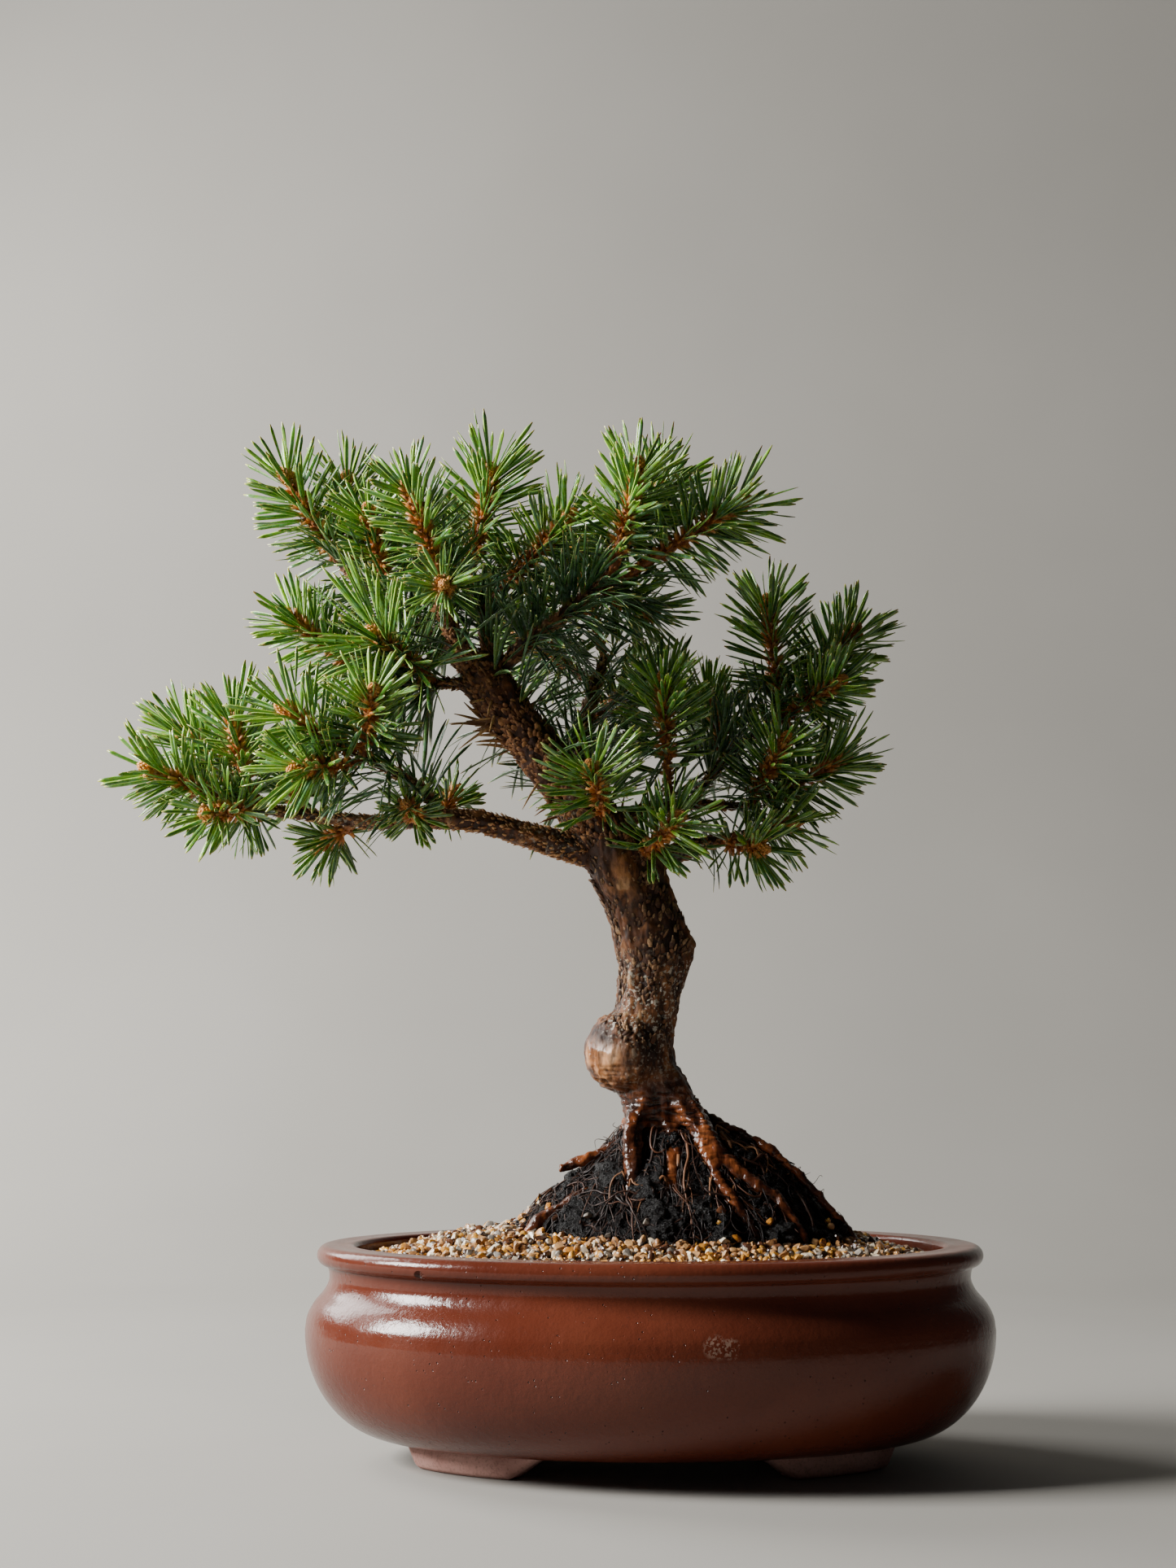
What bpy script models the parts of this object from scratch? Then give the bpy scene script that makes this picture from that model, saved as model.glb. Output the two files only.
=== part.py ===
"""Pine bonsai with exposed roots, in an oval glazed pot on four cloud feet.

Metres, +Z up, front towards -Y. Shapes are laid out in millimetres from the
centre of the pot's base. At the end an empty carries the whole object so that
the origin is the middle of its footprint.
"""
import math

import bmesh
import bpy
import numpy as np
from mathutils import Matrix, Vector

for leftover in list(bpy.data.objects):
    bpy.data.objects.remove(leftover, do_unlink=True)

# ---------------------------------------------------------------- dimensions
# Millimetres, unless a name says otherwise.
MM = 0.001                   # one millimetre in metres
MERGE = 0.0001               # merge distance of modifiers
GAP = 0.3                    # clearance between pieces that touch

POT_LENGTH = 250.0
POT_DEPTH = 176.0
POT_HEIGHT = 76.0
POT_SEGMENTS = 40
RIM_WIDTH = 14.0
LIP_HEIGHT = 7.0
WALL = 8.5
BELLY_Z = 46.0               # height of the widest line
FOOT_HEIGHT = 8.0
FLOOR_TOP = 16.0
FOOT_RING_LENGTH = 184.0
FOOT_RING_WIDTH = 11.0
FRONT_NOTCH = 75.0           # clear width under the pot between the front feet
FRONT_FLARE = 19.0           # how far each side of the notch slopes down to its foot
END_NOTCH = 24.0
END_FLARE = 10.0

HOLE_DIAMETER = 22.0
HOLE_OFFSET = 45.0
SCREEN_SIZE = 32.0
SCREEN_THICKNESS = 1.0
SCREEN_HOLES = 3
SCREEN_RIB = 2.6
WIRE_DIAMETER = 1.6

SOIL_TOP = 61.0
GRAVEL_EDGE = 69.0
GRAVEL_TOP = 84.0

SHOOT_SIDES = 6
SHOOT_RADIUS = 1.25
RING_SPACING = 6.6           # between whorls of needles
WHORL_TWIST = 0.35           # turn from one whorl to the next, radians
WIDE_LEAN = 72.0             # of the lowest needles from their stem, degrees
NARROW_LEAN = 32.0           # of the top needles
LEAN_SCATTER = 3.0
NEEDLE_SCATTER = (0.88, 1.08)    # shortest and longest, as shares of the shoot's needle length
NEEDLE_SHARES = (1.0, 0.8, 0.62, 0.45)    # lengths tried in turn until one has room
NEEDLE_BASE = 1.8            # half width of a needle bundle where it starts
NEEDLE_TIP = 0.2
NEEDLE_CLEARANCE = 0.9
BUD_LENGTH = 6.0
BEAD_SPACING = 1.5           # between the spheres that stand for wood and needles when room is measured

BELLY = POT_LENGTH / 2
LIP = BELLY - 4.0
NECK = BELLY - 8.5
INNER_RIM = LIP - RIM_WIDTH
CAVITY = BELLY - WALL
FOOT_RING = FOOT_RING_LENGTH / 2

# ------------------------------------------------------------------- finishes
# name, colour, roughness, metallic
GLAZE = ("glaze", (0.20, 0.055, 0.032), 0.32, 0.0)
BARK = ("bark", (0.17, 0.085, 0.045), 0.85, 0.0)
TWIG_BARK = ("twig_bark", (0.24, 0.12, 0.055), 0.80, 0.0)
NEEDLES = ("needles", (0.075, 0.17, 0.075), 0.45, 0.0)
GRIT = ("grit", (0.30, 0.20, 0.11), 0.60, 0.0)
PEAT = ("peat", (0.015, 0.011, 0.009), 0.55, 0.0)
SOIL = ("soil", (0.12, 0.075, 0.045), 0.90, 0.0)
MESH_PLASTIC = ("mesh_plastic", (0.02, 0.05, 0.03), 0.50, 0.0)
WIRE_METAL = ("wire", (0.45, 0.44, 0.42), 0.35, 1.0)


# -------------------------------------------------------------------- helpers
def new_collection(name):
    collection = bpy.data.collections.new(name)
    bpy.context.scene.collection.children.link(collection)
    return collection


PARTS = new_collection("pine_bonsai")
CUTTERS = new_collection("cutters")
ROOT_STOCK = new_collection("root_stock")            # roots and burl to join to the trunk
ROOT_ROOM = new_collection("root_room")              # space the wood needs in the soil


def add_material(piece, finish):
    name, colour, roughness, metallic = finish
    made = bpy.data.materials.new(f"{name}_{piece.name}")
    made.use_nodes = True
    shader = made.node_tree.nodes["Principled BSDF"]
    shader.inputs["Base Color"].default_value = (*colour, 1.0)
    shader.inputs["Roughness"].default_value = roughness
    shader.inputs["Metallic"].default_value = metallic
    made.diffuse_color = (*colour, 1.0)
    piece.data.materials.append(made)


def add_part(name, mesh, finish):
    piece = bpy.data.objects.new(name, mesh)
    PARTS.objects.link(piece)
    add_material(piece, finish)
    mesh.shade_smooth()
    mesh.set_sharp_from_angle(angle=math.radians(50.0))
    return piece


def add_cutter(name, mesh, collection=CUTTERS):
    piece = bpy.data.objects.new(name, mesh)
    collection.objects.link(piece)
    piece.hide_render = True
    piece.display_type = "WIRE"
    return piece


def to_mesh(name, bm):
    """Turn a bmesh in millimetres into a mesh in metres with outward faces."""
    bmesh.ops.scale(bm, vec=(MM, MM, MM), verts=bm.verts)
    bmesh.ops.recalc_face_normals(bm, faces=bm.faces)
    mesh = bpy.data.meshes.new(name)
    bm.to_mesh(mesh)
    bm.free()
    return mesh


def boolean(piece, operand, operation="DIFFERENCE"):
    """Cut or join with one object, or with every object of a collection."""
    modifier = piece.modifiers.new(operation.lower(), "BOOLEAN")
    modifier.operation = operation
    modifier.solver = "EXACT"
    if isinstance(operand, bpy.types.Collection):
        modifier.operand_type = "COLLECTION"
        modifier.collection = operand
    else:
        modifier.object = operand


def evaluated_mesh(piece):
    depsgraph = bpy.context.evaluated_depsgraph_get()
    return bpy.data.meshes.new_from_object(piece.evaluated_get(depsgraph))


def arc(centre, radii, start, stop, count):
    """Points of an elliptical arc in (radius, z), angles in degrees."""
    angles = np.radians(np.linspace(start, stop, count))
    return [(centre[0] + radii[0] * math.cos(a), centre[1] + radii[1] * math.sin(a)) for a in angles]


def ovalise(bm):
    """Press a turned body to the pot's oval and keep the wall's thickness."""
    squeeze = (POT_LENGTH - POT_DEPTH) / 2
    flat = POT_LENGTH / 3
    for vert in bm.verts:
        radius = max(math.hypot(vert.co.x, vert.co.y), flat)
        vert.co.y *= (radius - squeeze) / radius


def turned(name, profile, closed=False):
    """Turn a profile of (radius, z), top to bottom, and press it to the oval."""
    edges = [(i, i + 1) for i in range(len(profile) - 1)]
    if closed:
        edges.append((len(profile) - 1, 0))
    outline = bpy.data.meshes.new(name)
    outline.from_pydata([(radius, 0.0, z) for radius, z in profile], edges, [])
    lathe = add_cutter(name + "_profile", outline)
    screw = lathe.modifiers.new("turn", "SCREW")
    screw.axis = "Z"
    screw.steps = POT_SEGMENTS
    screw.render_steps = POT_SEGMENTS
    screw.use_merge_vertices = True
    screw.merge_threshold = MERGE
    bm = bmesh.new()
    bm.from_mesh(evaluated_mesh(lathe))
    bpy.data.objects.remove(lathe, do_unlink=True)
    bmesh.ops.remove_doubles(bm, verts=bm.verts, dist=MERGE)
    ovalise(bm)
    return to_mesh(name, bm)


def cylinder(name, radius, low, high, x):
    bm = bmesh.new()
    bmesh.ops.create_cone(bm, cap_ends=True, segments=20, radius1=radius, radius2=radius, depth=high - low)
    bmesh.ops.translate(bm, vec=(x, 0.0, (low + high) / 2), verts=bm.verts)
    return add_cutter(name, to_mesh(name, bm))


def block(name, size, low, high, x):
    bm = bmesh.new()
    bmesh.ops.create_cube(bm, size=1.0)
    bmesh.ops.scale(bm, vec=(size, size, high - low), verts=bm.verts)
    bmesh.ops.translate(bm, vec=(x, 0.0, (low + high) / 2), verts=bm.verts)
    return add_cutter(name, to_mesh(name, bm))


# ------------------------------------------------------------------------ pot
def cavity_bowl(inset):
    """Curve of the pot's inside, from its floor up to the widest line."""
    middle = FOOT_RING - 6.0
    return arc((middle, BELLY_Z), (CAVITY - middle - inset, BELLY_Z - FLOOR_TOP - inset), -90, 0, 6)


def pot_profile():
    """From the middle of the floor up inside, over the lip and down to the base."""
    floor = cavity_bowl(0.0)
    inside = [(CAVITY - 2.0, 57.0), (INNER_RIM + 1.0, 67.0), (INNER_RIM, 74.5), (INNER_RIM + 1.5, POT_HEIGHT)]
    lip = arc((LIP - 3.5, POT_HEIGHT - LIP_HEIGHT / 2), (3.5, LIP_HEIGHT / 2), 90, -90, 6)
    neck = [(NECK + 0.5, POT_HEIGHT - LIP_HEIGHT - 1.5), (NECK, 63.5), (BELLY - 4.5, 57.0), (BELLY - 1.2, 52.0)]
    belly = arc((FOOT_RING, BELLY_Z), (BELLY - FOOT_RING, BELLY_Z - FOOT_HEIGHT), 0, -84, 8)
    return [(0.0, FLOOR_TOP)] + floor + inside + lip + neck + belly + [(0.0, FOOT_HEIGHT)]


def foot_ring_profile():
    """Closed section of the ring that the four feet are cut from."""
    inner = FOOT_RING - FOOT_RING_WIDTH
    top = FOOT_HEIGHT + 3.0
    return [(FOOT_RING - 2.0, top), (FOOT_RING + 0.6, 5.0), (FOOT_RING - 1.2, 0.0), (inner + 1.0, 0.0), (inner, top)]


def notch(name, width, flare, turn):
    """Cutter for the opening between two feet, flared down in a cloud curve."""
    half = width / 2
    curve = [(1.0, -2.0), (1.0, 0.0), (0.8, 2.4), (0.42, 7.0), (0.0, FOOT_HEIGHT)]
    side = [(half + share * flare, z) for share, z in curve]
    bm = bmesh.new()
    corners = [bm.verts.new((x, -POT_LENGTH, z)) for x, z in side]
    corners += [bm.verts.new((-x, -POT_LENGTH, z)) for x, z in reversed(side)]
    swept = bmesh.ops.extrude_face_region(bm, geom=[bm.faces.new(corners)])
    far = [item for item in swept["geom"] if isinstance(item, bmesh.types.BMVert)]
    bmesh.ops.translate(bm, vec=(0.0, 2 * POT_LENGTH, 0.0), verts=far)
    bmesh.ops.rotate(bm, cent=(0, 0, 0), matrix=Matrix.Rotation(turn, 3, "Z"), verts=bm.verts)
    return add_cutter(name, to_mesh(name, bm))


def make_pot():
    ring = add_cutter("foot_ring", turned("foot_ring", foot_ring_profile(), closed=True))
    boolean(ring, notch("front_notch", FRONT_NOTCH, FRONT_FLARE, 0.0))
    boolean(ring, notch("end_notch", END_NOTCH, END_FLARE, math.pi / 2))
    pot = add_part("pot", turned("pot", pot_profile()), GLAZE)
    boolean(pot, ring, "UNION")
    for side, x in (("left", -HOLE_OFFSET), ("right", HOLE_OFFSET)):
        hole = cylinder(f"drain_{side}", HOLE_DIAMETER / 2, 0.0, FLOOR_TOP + 5.0, x)
        boolean(pot, hole)


# --------------------------------------------------- screens over the drainage
def make_screen(side, x):
    """A square plastic mesh, its holes left out of a grid that is then thickened."""
    lines = 2 * SCREEN_HOLES + 2
    pitch = (SCREEN_SIZE - SCREEN_RIB) / SCREEN_HOLES
    places = [(i // 2) * pitch + (i % 2) * SCREEN_RIB - SCREEN_SIZE / 2 for i in range(lines)]
    bm = bmesh.new()
    bmesh.ops.create_grid(bm, x_segments=lines - 1, y_segments=lines - 1, size=(lines - 1) / 2)
    holes = [f for f in bm.faces if all(round(c + lines / 2 - 1) % 2 == 1 for c in f.calc_center_median()[:2])]
    bmesh.ops.delete(bm, geom=holes, context="FACES")
    for vert in bm.verts:
        vert.co.x = places[round(vert.co.x + (lines - 1) / 2)] + x
        vert.co.y = places[round(vert.co.y + (lines - 1) / 2)]
        vert.co.z = FLOOR_TOP + GAP
    screen = add_part(f"drainage_screen_{side}", to_mesh("screen", bm), MESH_PLASTIC)
    solid = screen.modifiers.new("thickness", "SOLIDIFY")
    solid.thickness = SCREEN_THICKNESS * MM
    solid.offset = 1.0


def make_clip(side, x):
    """Wire staple: flat over the screen, down through it and out under the floor."""
    top = FLOOR_TOP + 2 * GAP + SCREEN_THICKNESS + WIRE_DIAMETER / 2
    under = FOOT_HEIGHT - GAP - WIRE_DIAMETER / 2
    reach = HOLE_DIAMETER / 2 + 4.0
    leg = HOLE_DIAMETER / 2 - 2.5
    bend = 1.5
    half = [(leg - bend, top), (leg, top - bend), (leg, under + bend), (leg + bend, under), (reach, under)]
    route = [(x - h, 0.0, z, WIRE_DIAMETER / 2) for h, z in reversed(half)]
    route += [(x + h, 0.0, z, WIRE_DIAMETER / 2) for h, z in half]
    add_part(f"screen_clip_{side}", tube_mesh("clip", route, resolution=1), WIRE_METAL)


# ------------------------------------------------------------ soil and gravel
def make_soil():
    """Potting soil, gravel mound and the peat round the roots, from below up."""
    top = [(CAVITY - 2.5, 56.0), (INNER_RIM + 4.0, SOIL_TOP), (0.0, SOIL_TOP)]
    fill = [(0.0, FLOOR_TOP + GAP)] + cavity_bowl(GAP) + top
    soil = add_part("potting_soil", turned("potting_soil", fill), SOIL)
    for side, x in (("left", -HOLE_OFFSET), ("right", HOLE_OFFSET)):
        room = 2 * SCREEN_THICKNESS + WIRE_DIAMETER + 2 * GAP
        boolean(soil, block(f"screen_room_{side}", SCREEN_SIZE + 2 * GAP, FLOOR_TOP - 1.0, FLOOR_TOP + room, x))

    bottom = SOIL_TOP + GAP
    edge = INNER_RIM - GAP
    mound = [(0.0, GRAVEL_TOP), (45.0, GRAVEL_TOP - 1.5), (75.0, 78.0), (92.0, 73.0), (edge, GRAVEL_EDGE)]
    gravel = add_part("gravel", turned("gravel", mound + [(edge, bottom), (0.0, bottom)]), GRIT)
    boolean(gravel, add_cutter("peat_room", peat_mesh("peat_room", GAP)))
    boolean(gravel, ROOT_ROOM)

    peat = add_part("peat", peat_mesh("peat", 0.0), PEAT)
    boolean(peat, ROOT_ROOM)


def peat_mesh(name, grow):
    """A lopsided mound: rings of (height, centre x, half length, half depth)."""
    rings = [(SOIL_TOP + GAP - grow, 13, 67, 44), (80, 11, 63, 39), (90, 12, 53, 33)]
    rings += [(100, 14, 41, 25), (109, 13, 31, 19), (116, 9, 20, 15)]
    bm = bmesh.new()
    bmesh.ops.create_uvsphere(bm, u_segments=20, v_segments=len(rings) + 1, radius=1.0)
    latitudes = sorted({round(vert.co.z, 4) for vert in bm.verts})
    crown = rings[-1]
    for vert in bm.verts:
        level = latitudes.index(round(vert.co.z, 4))
        angle = math.atan2(vert.co.y, vert.co.x)
        if level == 0:
            vert.co = (rings[0][1], 0.0, rings[0][0])
        elif level > len(rings):
            vert.co = (crown[1], 0.0, crown[0] + 2.0 + grow)
        else:
            z, x, length, depth = rings[level - 1]
            vert.co = (x + (length + grow) * math.cos(angle), (depth + grow) * math.sin(angle), z)
    return to_mesh(name, bm)


# ----------------------------------------------------------------------- wood
def smooth_route(points, step):
    """Catmull-Rom curve through (x, y, z, radius) points, about a step apart."""
    knots = np.array([points[0], *points, points[-1]], float)
    knots[0] = 2 * knots[1] - knots[2]
    knots[-1] = 2 * knots[-2] - knots[-3]
    route = []
    for i in range(1, len(knots) - 2):
        before, start, stop, after = knots[i - 1:i + 3]
        count = max(1, round(float(np.linalg.norm((stop - start)[:3])) / step))
        for t in np.arange(count) / count:
            bend = 2 * before - 5 * start + 4 * stop - after
            twist = 3 * start - before - 3 * stop + after
            route.append(start + 0.5 * ((stop - before) * t + bend * t ** 2 + twist * t ** 3))
    route.append(knots[-2])
    return [tuple(float(value) for value in point) for point in route]


def tube_mesh(name, route, resolution, grow=0.0):
    """A bevelled curve along (x, y, z, radius) points, as a closed mesh."""
    curve = bpy.data.curves.new(name, "CURVE")
    curve.dimensions = "3D"
    curve.bevel_depth = MM
    curve.bevel_resolution = resolution
    curve.use_fill_caps = True
    spline = curve.splines.new("POLY")
    spline.points.add(len(route) - 1)
    for point, (x, y, z, radius) in zip(spline.points, route):
        point.co = (x * MM, y * MM, z * MM, 1.0)
        point.radius = radius + grow
    wire = bpy.data.objects.new(name, curve)
    CUTTERS.objects.link(wire)
    bm = bmesh.new()
    bm.from_mesh(evaluated_mesh(wire))
    bpy.data.objects.remove(wire, do_unlink=True)
    bmesh.ops.remove_doubles(bm, verts=bm.verts, dist=MERGE / 10)
    bmesh.ops.recalc_face_normals(bm, faces=bm.faces)
    mesh = bpy.data.meshes.new(name)
    bm.to_mesh(mesh)
    bm.free()
    return mesh


# Trunk: up out of the roots, a waist, then a long lean to the left.
TRUNK = [(0, 0, 92, 9), (3, 0, 112, 10.5), (0, 0, 132, 12), (-3, -1, 148, 12), (0, -1, 167, 11.5),
         (1, 0, 183, 13), (-3, 0, 199, 12.5), (-8, 0, 211, 13.5), (-15, -1, 223, 11.5), (-28, -3, 240, 9),
         (-41, -5, 257, 8.5), (-53, -5, 272, 8.8), (-61, -4, 284, 9), (-63, -3, 292, 7.5)]

BURL_CENTRE = (-9, -4, 145)
BURL_RADIUS = 15.0
OLD_CUT = ((10, -2, 185), 20, 3.0)       # centre, reach and height of a healed cut's swelling

ROOTS = [
    [(4, -4, 140, 6), (17, -11, 120, 5), (25, -17, 107, 4.2), (34, -20, 100, 3.4),
     (44, -22, 94, 2.8), (50, -25, 86, 2.4), (55, -29, 78, 2), (62, -31, 71, 1.7)],
    [(8, -6, 120, 4.5), (8, -16, 107, 3.8), (7, -23, 97, 3.3), (11, -29, 88, 2.6), (14, -35, 77, 2)],
    [(-3, -5, 128, 5), (-6, -13, 116, 4.5), (-6, -18, 102, 3.6), (-8, -23, 90, 2.6), (-9, -29, 78, 1.8)],
    [(-2, -3, 108, 5.5), (-13, -10, 98, 4.2), (-27, -14, 92, 3.5), (-38, -17, 86, 3), (-48, -20, 77, 2.4)],
    [(-3, -1, 114, 4), (-14, -3, 110, 3), (-24, -5, 106, 2.4), (-33, -6, 103, 1.5)],
    [(17, -13, 116, 2.8), (24, -24, 100, 2.4), (32, -29, 88, 2.2), (41, -33, 76, 1.9)],
    [(6, 2, 130, 4.5), (21, 0, 121, 2.6), (33, -4, 116, 1.9), (44, -7, 110, 1.7),
     (54, -9, 101, 1.5), (64, -11, 90, 1.4), (75, -12, 77, 1.2)],
    [(-4, 5, 120, 5), (-13, 18, 103, 4.2), (-25, 27, 90, 3.4), (-34, 33, 77, 2.8)],
    [(6, 5, 120, 5), (18, 19, 103, 4.2), (32, 26, 90, 3.4), (43, 31, 77, 2.8)],
]

# Branches and twigs: name, what each grows from, and its route.
STEMS = {
    "branch_lower_left": ("trunk", [
        (-12, -1, 216, 6.5), (-26, -3, 220, 6), (-45, -7, 225, 4.8), (-64, -10, 230, 4.3),
        (-83, -12, 230, 3.2), (-102, -14, 229, 2.6), (-127, -15, 232, 2.2), (-148, -16, 234, 1.6)]),
    "twig_lower_left": ("branch_lower_left", [
        (-74, -12, 230, 2), (-85, -23, 242, 1.9), (-97, -31, 248, 1.8), (-105, -35, 251, 1.4)]),
    "twig_mid_left": ("trunk", [
        (-62, -3, 282, 2.4), (-76, -1, 283, 2), (-90, 2, 282, 1.7), (-104, 4, 285, 1.4)]),
    "twig_crown_left": ("trunk", [
        (-67, 2, 287, 2.6), (-82, 9, 302, 2.3), (-98, 13, 316, 2), (-112, 15, 326, 1.7), (-118, 15, 332, 1.4)]),
    "twig_crown_front": ("trunk", [
        (-65, -7, 285, 3), (-72, -14, 299, 2.6), (-76, -19, 307, 2.2), (-75, -24, 315, 1.7)]),
    "twig_crown_centre": ("trunk", [
        (-60, 3, 288, 2.8), (-61, 7, 302, 2.5), (-65, 7, 315, 2), (-67, 4, 326, 1.5)]),
    "twig_crown_right": ("trunk", [
        (-57, -5, 286, 3), (-43, -9, 299, 2.7), (-32, -12, 306, 2.5), (-23, -14, 314, 2.1),
        (-16, -14, 319, 1.8), (-10, -14, 320, 1.5)]),
    "branch_rear": ("trunk", [
        (-17, 3, 226, 6), (-26, 14, 245, 5.2), (-26, 21, 263, 4), (-21, 26, 281, 2.8), (-16, 28, 298, 1.8)]),
    "branch_lower_right": ("trunk", [(-3, 2, 214, 5), (18, 6, 222, 3.4), (26, 8, 224, 2.4), (34, 9, 226, 1.7)]),
    "branch_mid_right": ("trunk", [
        (-14, 3, 230, 4), (0, 10, 236, 3), (14, 12, 239, 2.3), (29, 14, 238, 1.8), (43, 15, 239, 1.4)]),
    "twig_right": ("branch_mid_right", [
        (16, 12, 239, 2), (25, 19, 251, 1.9), (36, 24, 263, 1.7), (47, 26, 270, 1.5), (57, 26, 276, 1.3)]),
}

TRUNK_STEP = 9.0
ROOT_STEP = 12.0
STEM_STEP = 11.0
TRUNK_SIDES = 3              # curve bevel resolution of the trunk
STEM_SIDES = 1


def swell(mesh, lump):
    """Push the skin outwards in a rounded lump, as a burl or healed cut does."""
    centre, reach, height = lump
    middle = Vector(centre) * MM
    for vert in mesh.vertices:
        nearness = (vert.co - middle).length / (reach * MM)
        if nearness < 1.0:
            outward = Vector((vert.normal.x, vert.normal.y, vert.normal.z * 0.3))
            vert.co += outward * height * MM * (1.0 - nearness ** 2) ** 2


def trunk_mesh(name, grow):
    mesh = tube_mesh(name, smooth_route(TRUNK, TRUNK_STEP), TRUNK_SIDES, grow)
    swell(mesh, OLD_CUT)
    return mesh


def burl_mesh():
    """A ball of wood that swelled out of the trunk's left side."""
    bm = bmesh.new()
    bmesh.ops.create_uvsphere(bm, u_segments=16, v_segments=10, radius=BURL_RADIUS)
    bmesh.ops.translate(bm, vec=BURL_CENTRE, verts=bm.verts)
    return to_mesh("burl", bm)


def make_wood():
    """Trunk joined with its roots and burl, and each stem cut to sit on what it grows from."""
    trunk = add_part("trunk", trunk_mesh("trunk", 0.0), BARK)
    add_cutter("burl", burl_mesh(), ROOT_STOCK)
    for number, points in enumerate(ROOTS):
        route = smooth_route(points, ROOT_STEP)
        add_cutter(f"root_{number}", tube_mesh("root", route, STEM_SIDES), ROOT_STOCK)
        add_cutter(f"root_room_{number}", tube_mesh("root_room", route, STEM_SIDES, GAP), ROOT_ROOM)
    boolean(trunk, ROOT_STOCK, "UNION")
    rooms = {"trunk": add_cutter("trunk_room", trunk_mesh("trunk_room", GAP), ROOT_ROOM)}
    for name, (parent, points) in STEMS.items():
        route = smooth_route(points, STEM_STEP)
        stem = add_part(name, tube_mesh(name, route, STEM_SIDES), TWIG_BARK)
        boolean(stem, rooms[parent])
        rooms[name] = add_cutter(f"{name}_room", tube_mesh(name, route, STEM_SIDES, GAP))


# --------------------------------------------------------------------- shoots
# Each shoot: what it grows from, how far along that (0 to 1), the reach of its
# own stem from there, and its needles' length.
SHOOTS = [
    ("branch_lower_left", 1.00, (-33, -12, 13), 21),
    ("branch_lower_left", 0.98, (-7, -8, 33), 23),
    ("branch_lower_left", 0.94, (-36, 22, 32), 23),
    ("branch_lower_left", 0.95, (-16, -26, -4), 19),
    ("branch_lower_left", 0.86, (-4, 30, 26), 21),
    ("branch_lower_left", 0.70, (-16, 16, -8), 18),
    ("branch_lower_left", 0.54, (-3, -22, 3), 14),
    ("branch_lower_left", 0.48, (3, 16, 12), 14),
    ("twig_lower_left", 1.00, (-26, -6, 16), 23),
    ("twig_lower_left", 0.95, (5, -20, 20), 21),
    ("twig_lower_left", 0.88, (-25, -15, -5), 22),
    ("twig_mid_left", 1.00, (-31, -8, 23), 22),
    ("twig_mid_left", 0.40, (-22, -20, 15), 38),
    ("twig_crown_left", 1.00, (-21, -3, 33), 23),
    ("twig_crown_left", 0.88, (-5, 12, 42), 21),
    ("twig_crown_left", 0.62, (-8, -18, 32), 21),
    ("twig_crown_front", 1.00, (-13, -13, 34), 22),
    ("twig_crown_front", 0.94, (1, -17, -1), 19),
    ("twig_crown_centre", 1.00, (8, -5, 38), 24),
    ("twig_crown_centre", 0.60, (34, -18, 33), 22),
    ("twig_crown_centre", 0.75, (-22, 26, 38), 22),
    ("twig_crown_right", 1.00, (44, -3, 28), 25),
    ("twig_crown_right", 0.93, (10, -15, 39), 23),
    ("twig_crown_right", 0.88, (24, 16, 44), 24),
    ("twig_crown_right", 0.84, (20, 22, -6), 20),
    ("trunk", 0.585, (-10, -27, 30), 25),
    ("trunk", 0.555, (18, -27, 17), 21),
    ("branch_rear", 1.00, (-12, 14, 50), 23),
    ("branch_rear", 0.85, (-34, 30, 30), 23),
    ("branch_rear", 0.62, (26, 36, 24), 23),
    ("branch_lower_right", 1.00, (22, 4, 6), 21),
    ("branch_lower_right", 0.80, (15, -15, -4), 18),
    ("branch_mid_right", 0.42, (-3, -20, 44), 22),
    ("branch_mid_right", 1.00, (32, 6, 18), 23),
    ("branch_mid_right", 0.93, (12, -16, 22), 21),
    ("twig_right", 1.00, (24, 3, 32), 23),
    ("twig_right", 0.90, (-5, -4, 44), 22),
    ("twig_right", 0.80, (25, -22, 14), 21),
    ("twig_right", 0.45, (-8, 24, 28), 21),
]


def along(route, fraction):
    """Point and radius at a fraction of a route's length."""
    points = np.array(route)
    lengths = np.linalg.norm(np.diff(points[:, :3], axis=0), axis=1)
    travelled = np.concatenate([[0.0], np.cumsum(lengths)]) / lengths.sum()
    values = [float(np.interp(fraction, travelled, points[:, axis])) for axis in range(4)]
    return Vector(values[:3]), values[3]


def bead_string(start, stop, radius, tip_radius):
    """Spheres of (x, y, z, radius) along a straight tapering piece."""
    count = max(2, round((stop - start).length / BEAD_SPACING))
    beads = []
    for i in range(count + 1):
        centre = start.lerp(stop, i / count)
        beads.append((*centre, radius + (tip_radius - radius) * i / count))
    return np.array(beads)


def clear_of(beads, others, clearance):
    if len(others) == 0:
        return True
    distance = np.linalg.norm(beads[:, None, :3] - others[None, :, :3], axis=2)
    room = distance - beads[:, None, 3] - others[None, :, 3]
    return float(room.min()) > clearance


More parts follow.
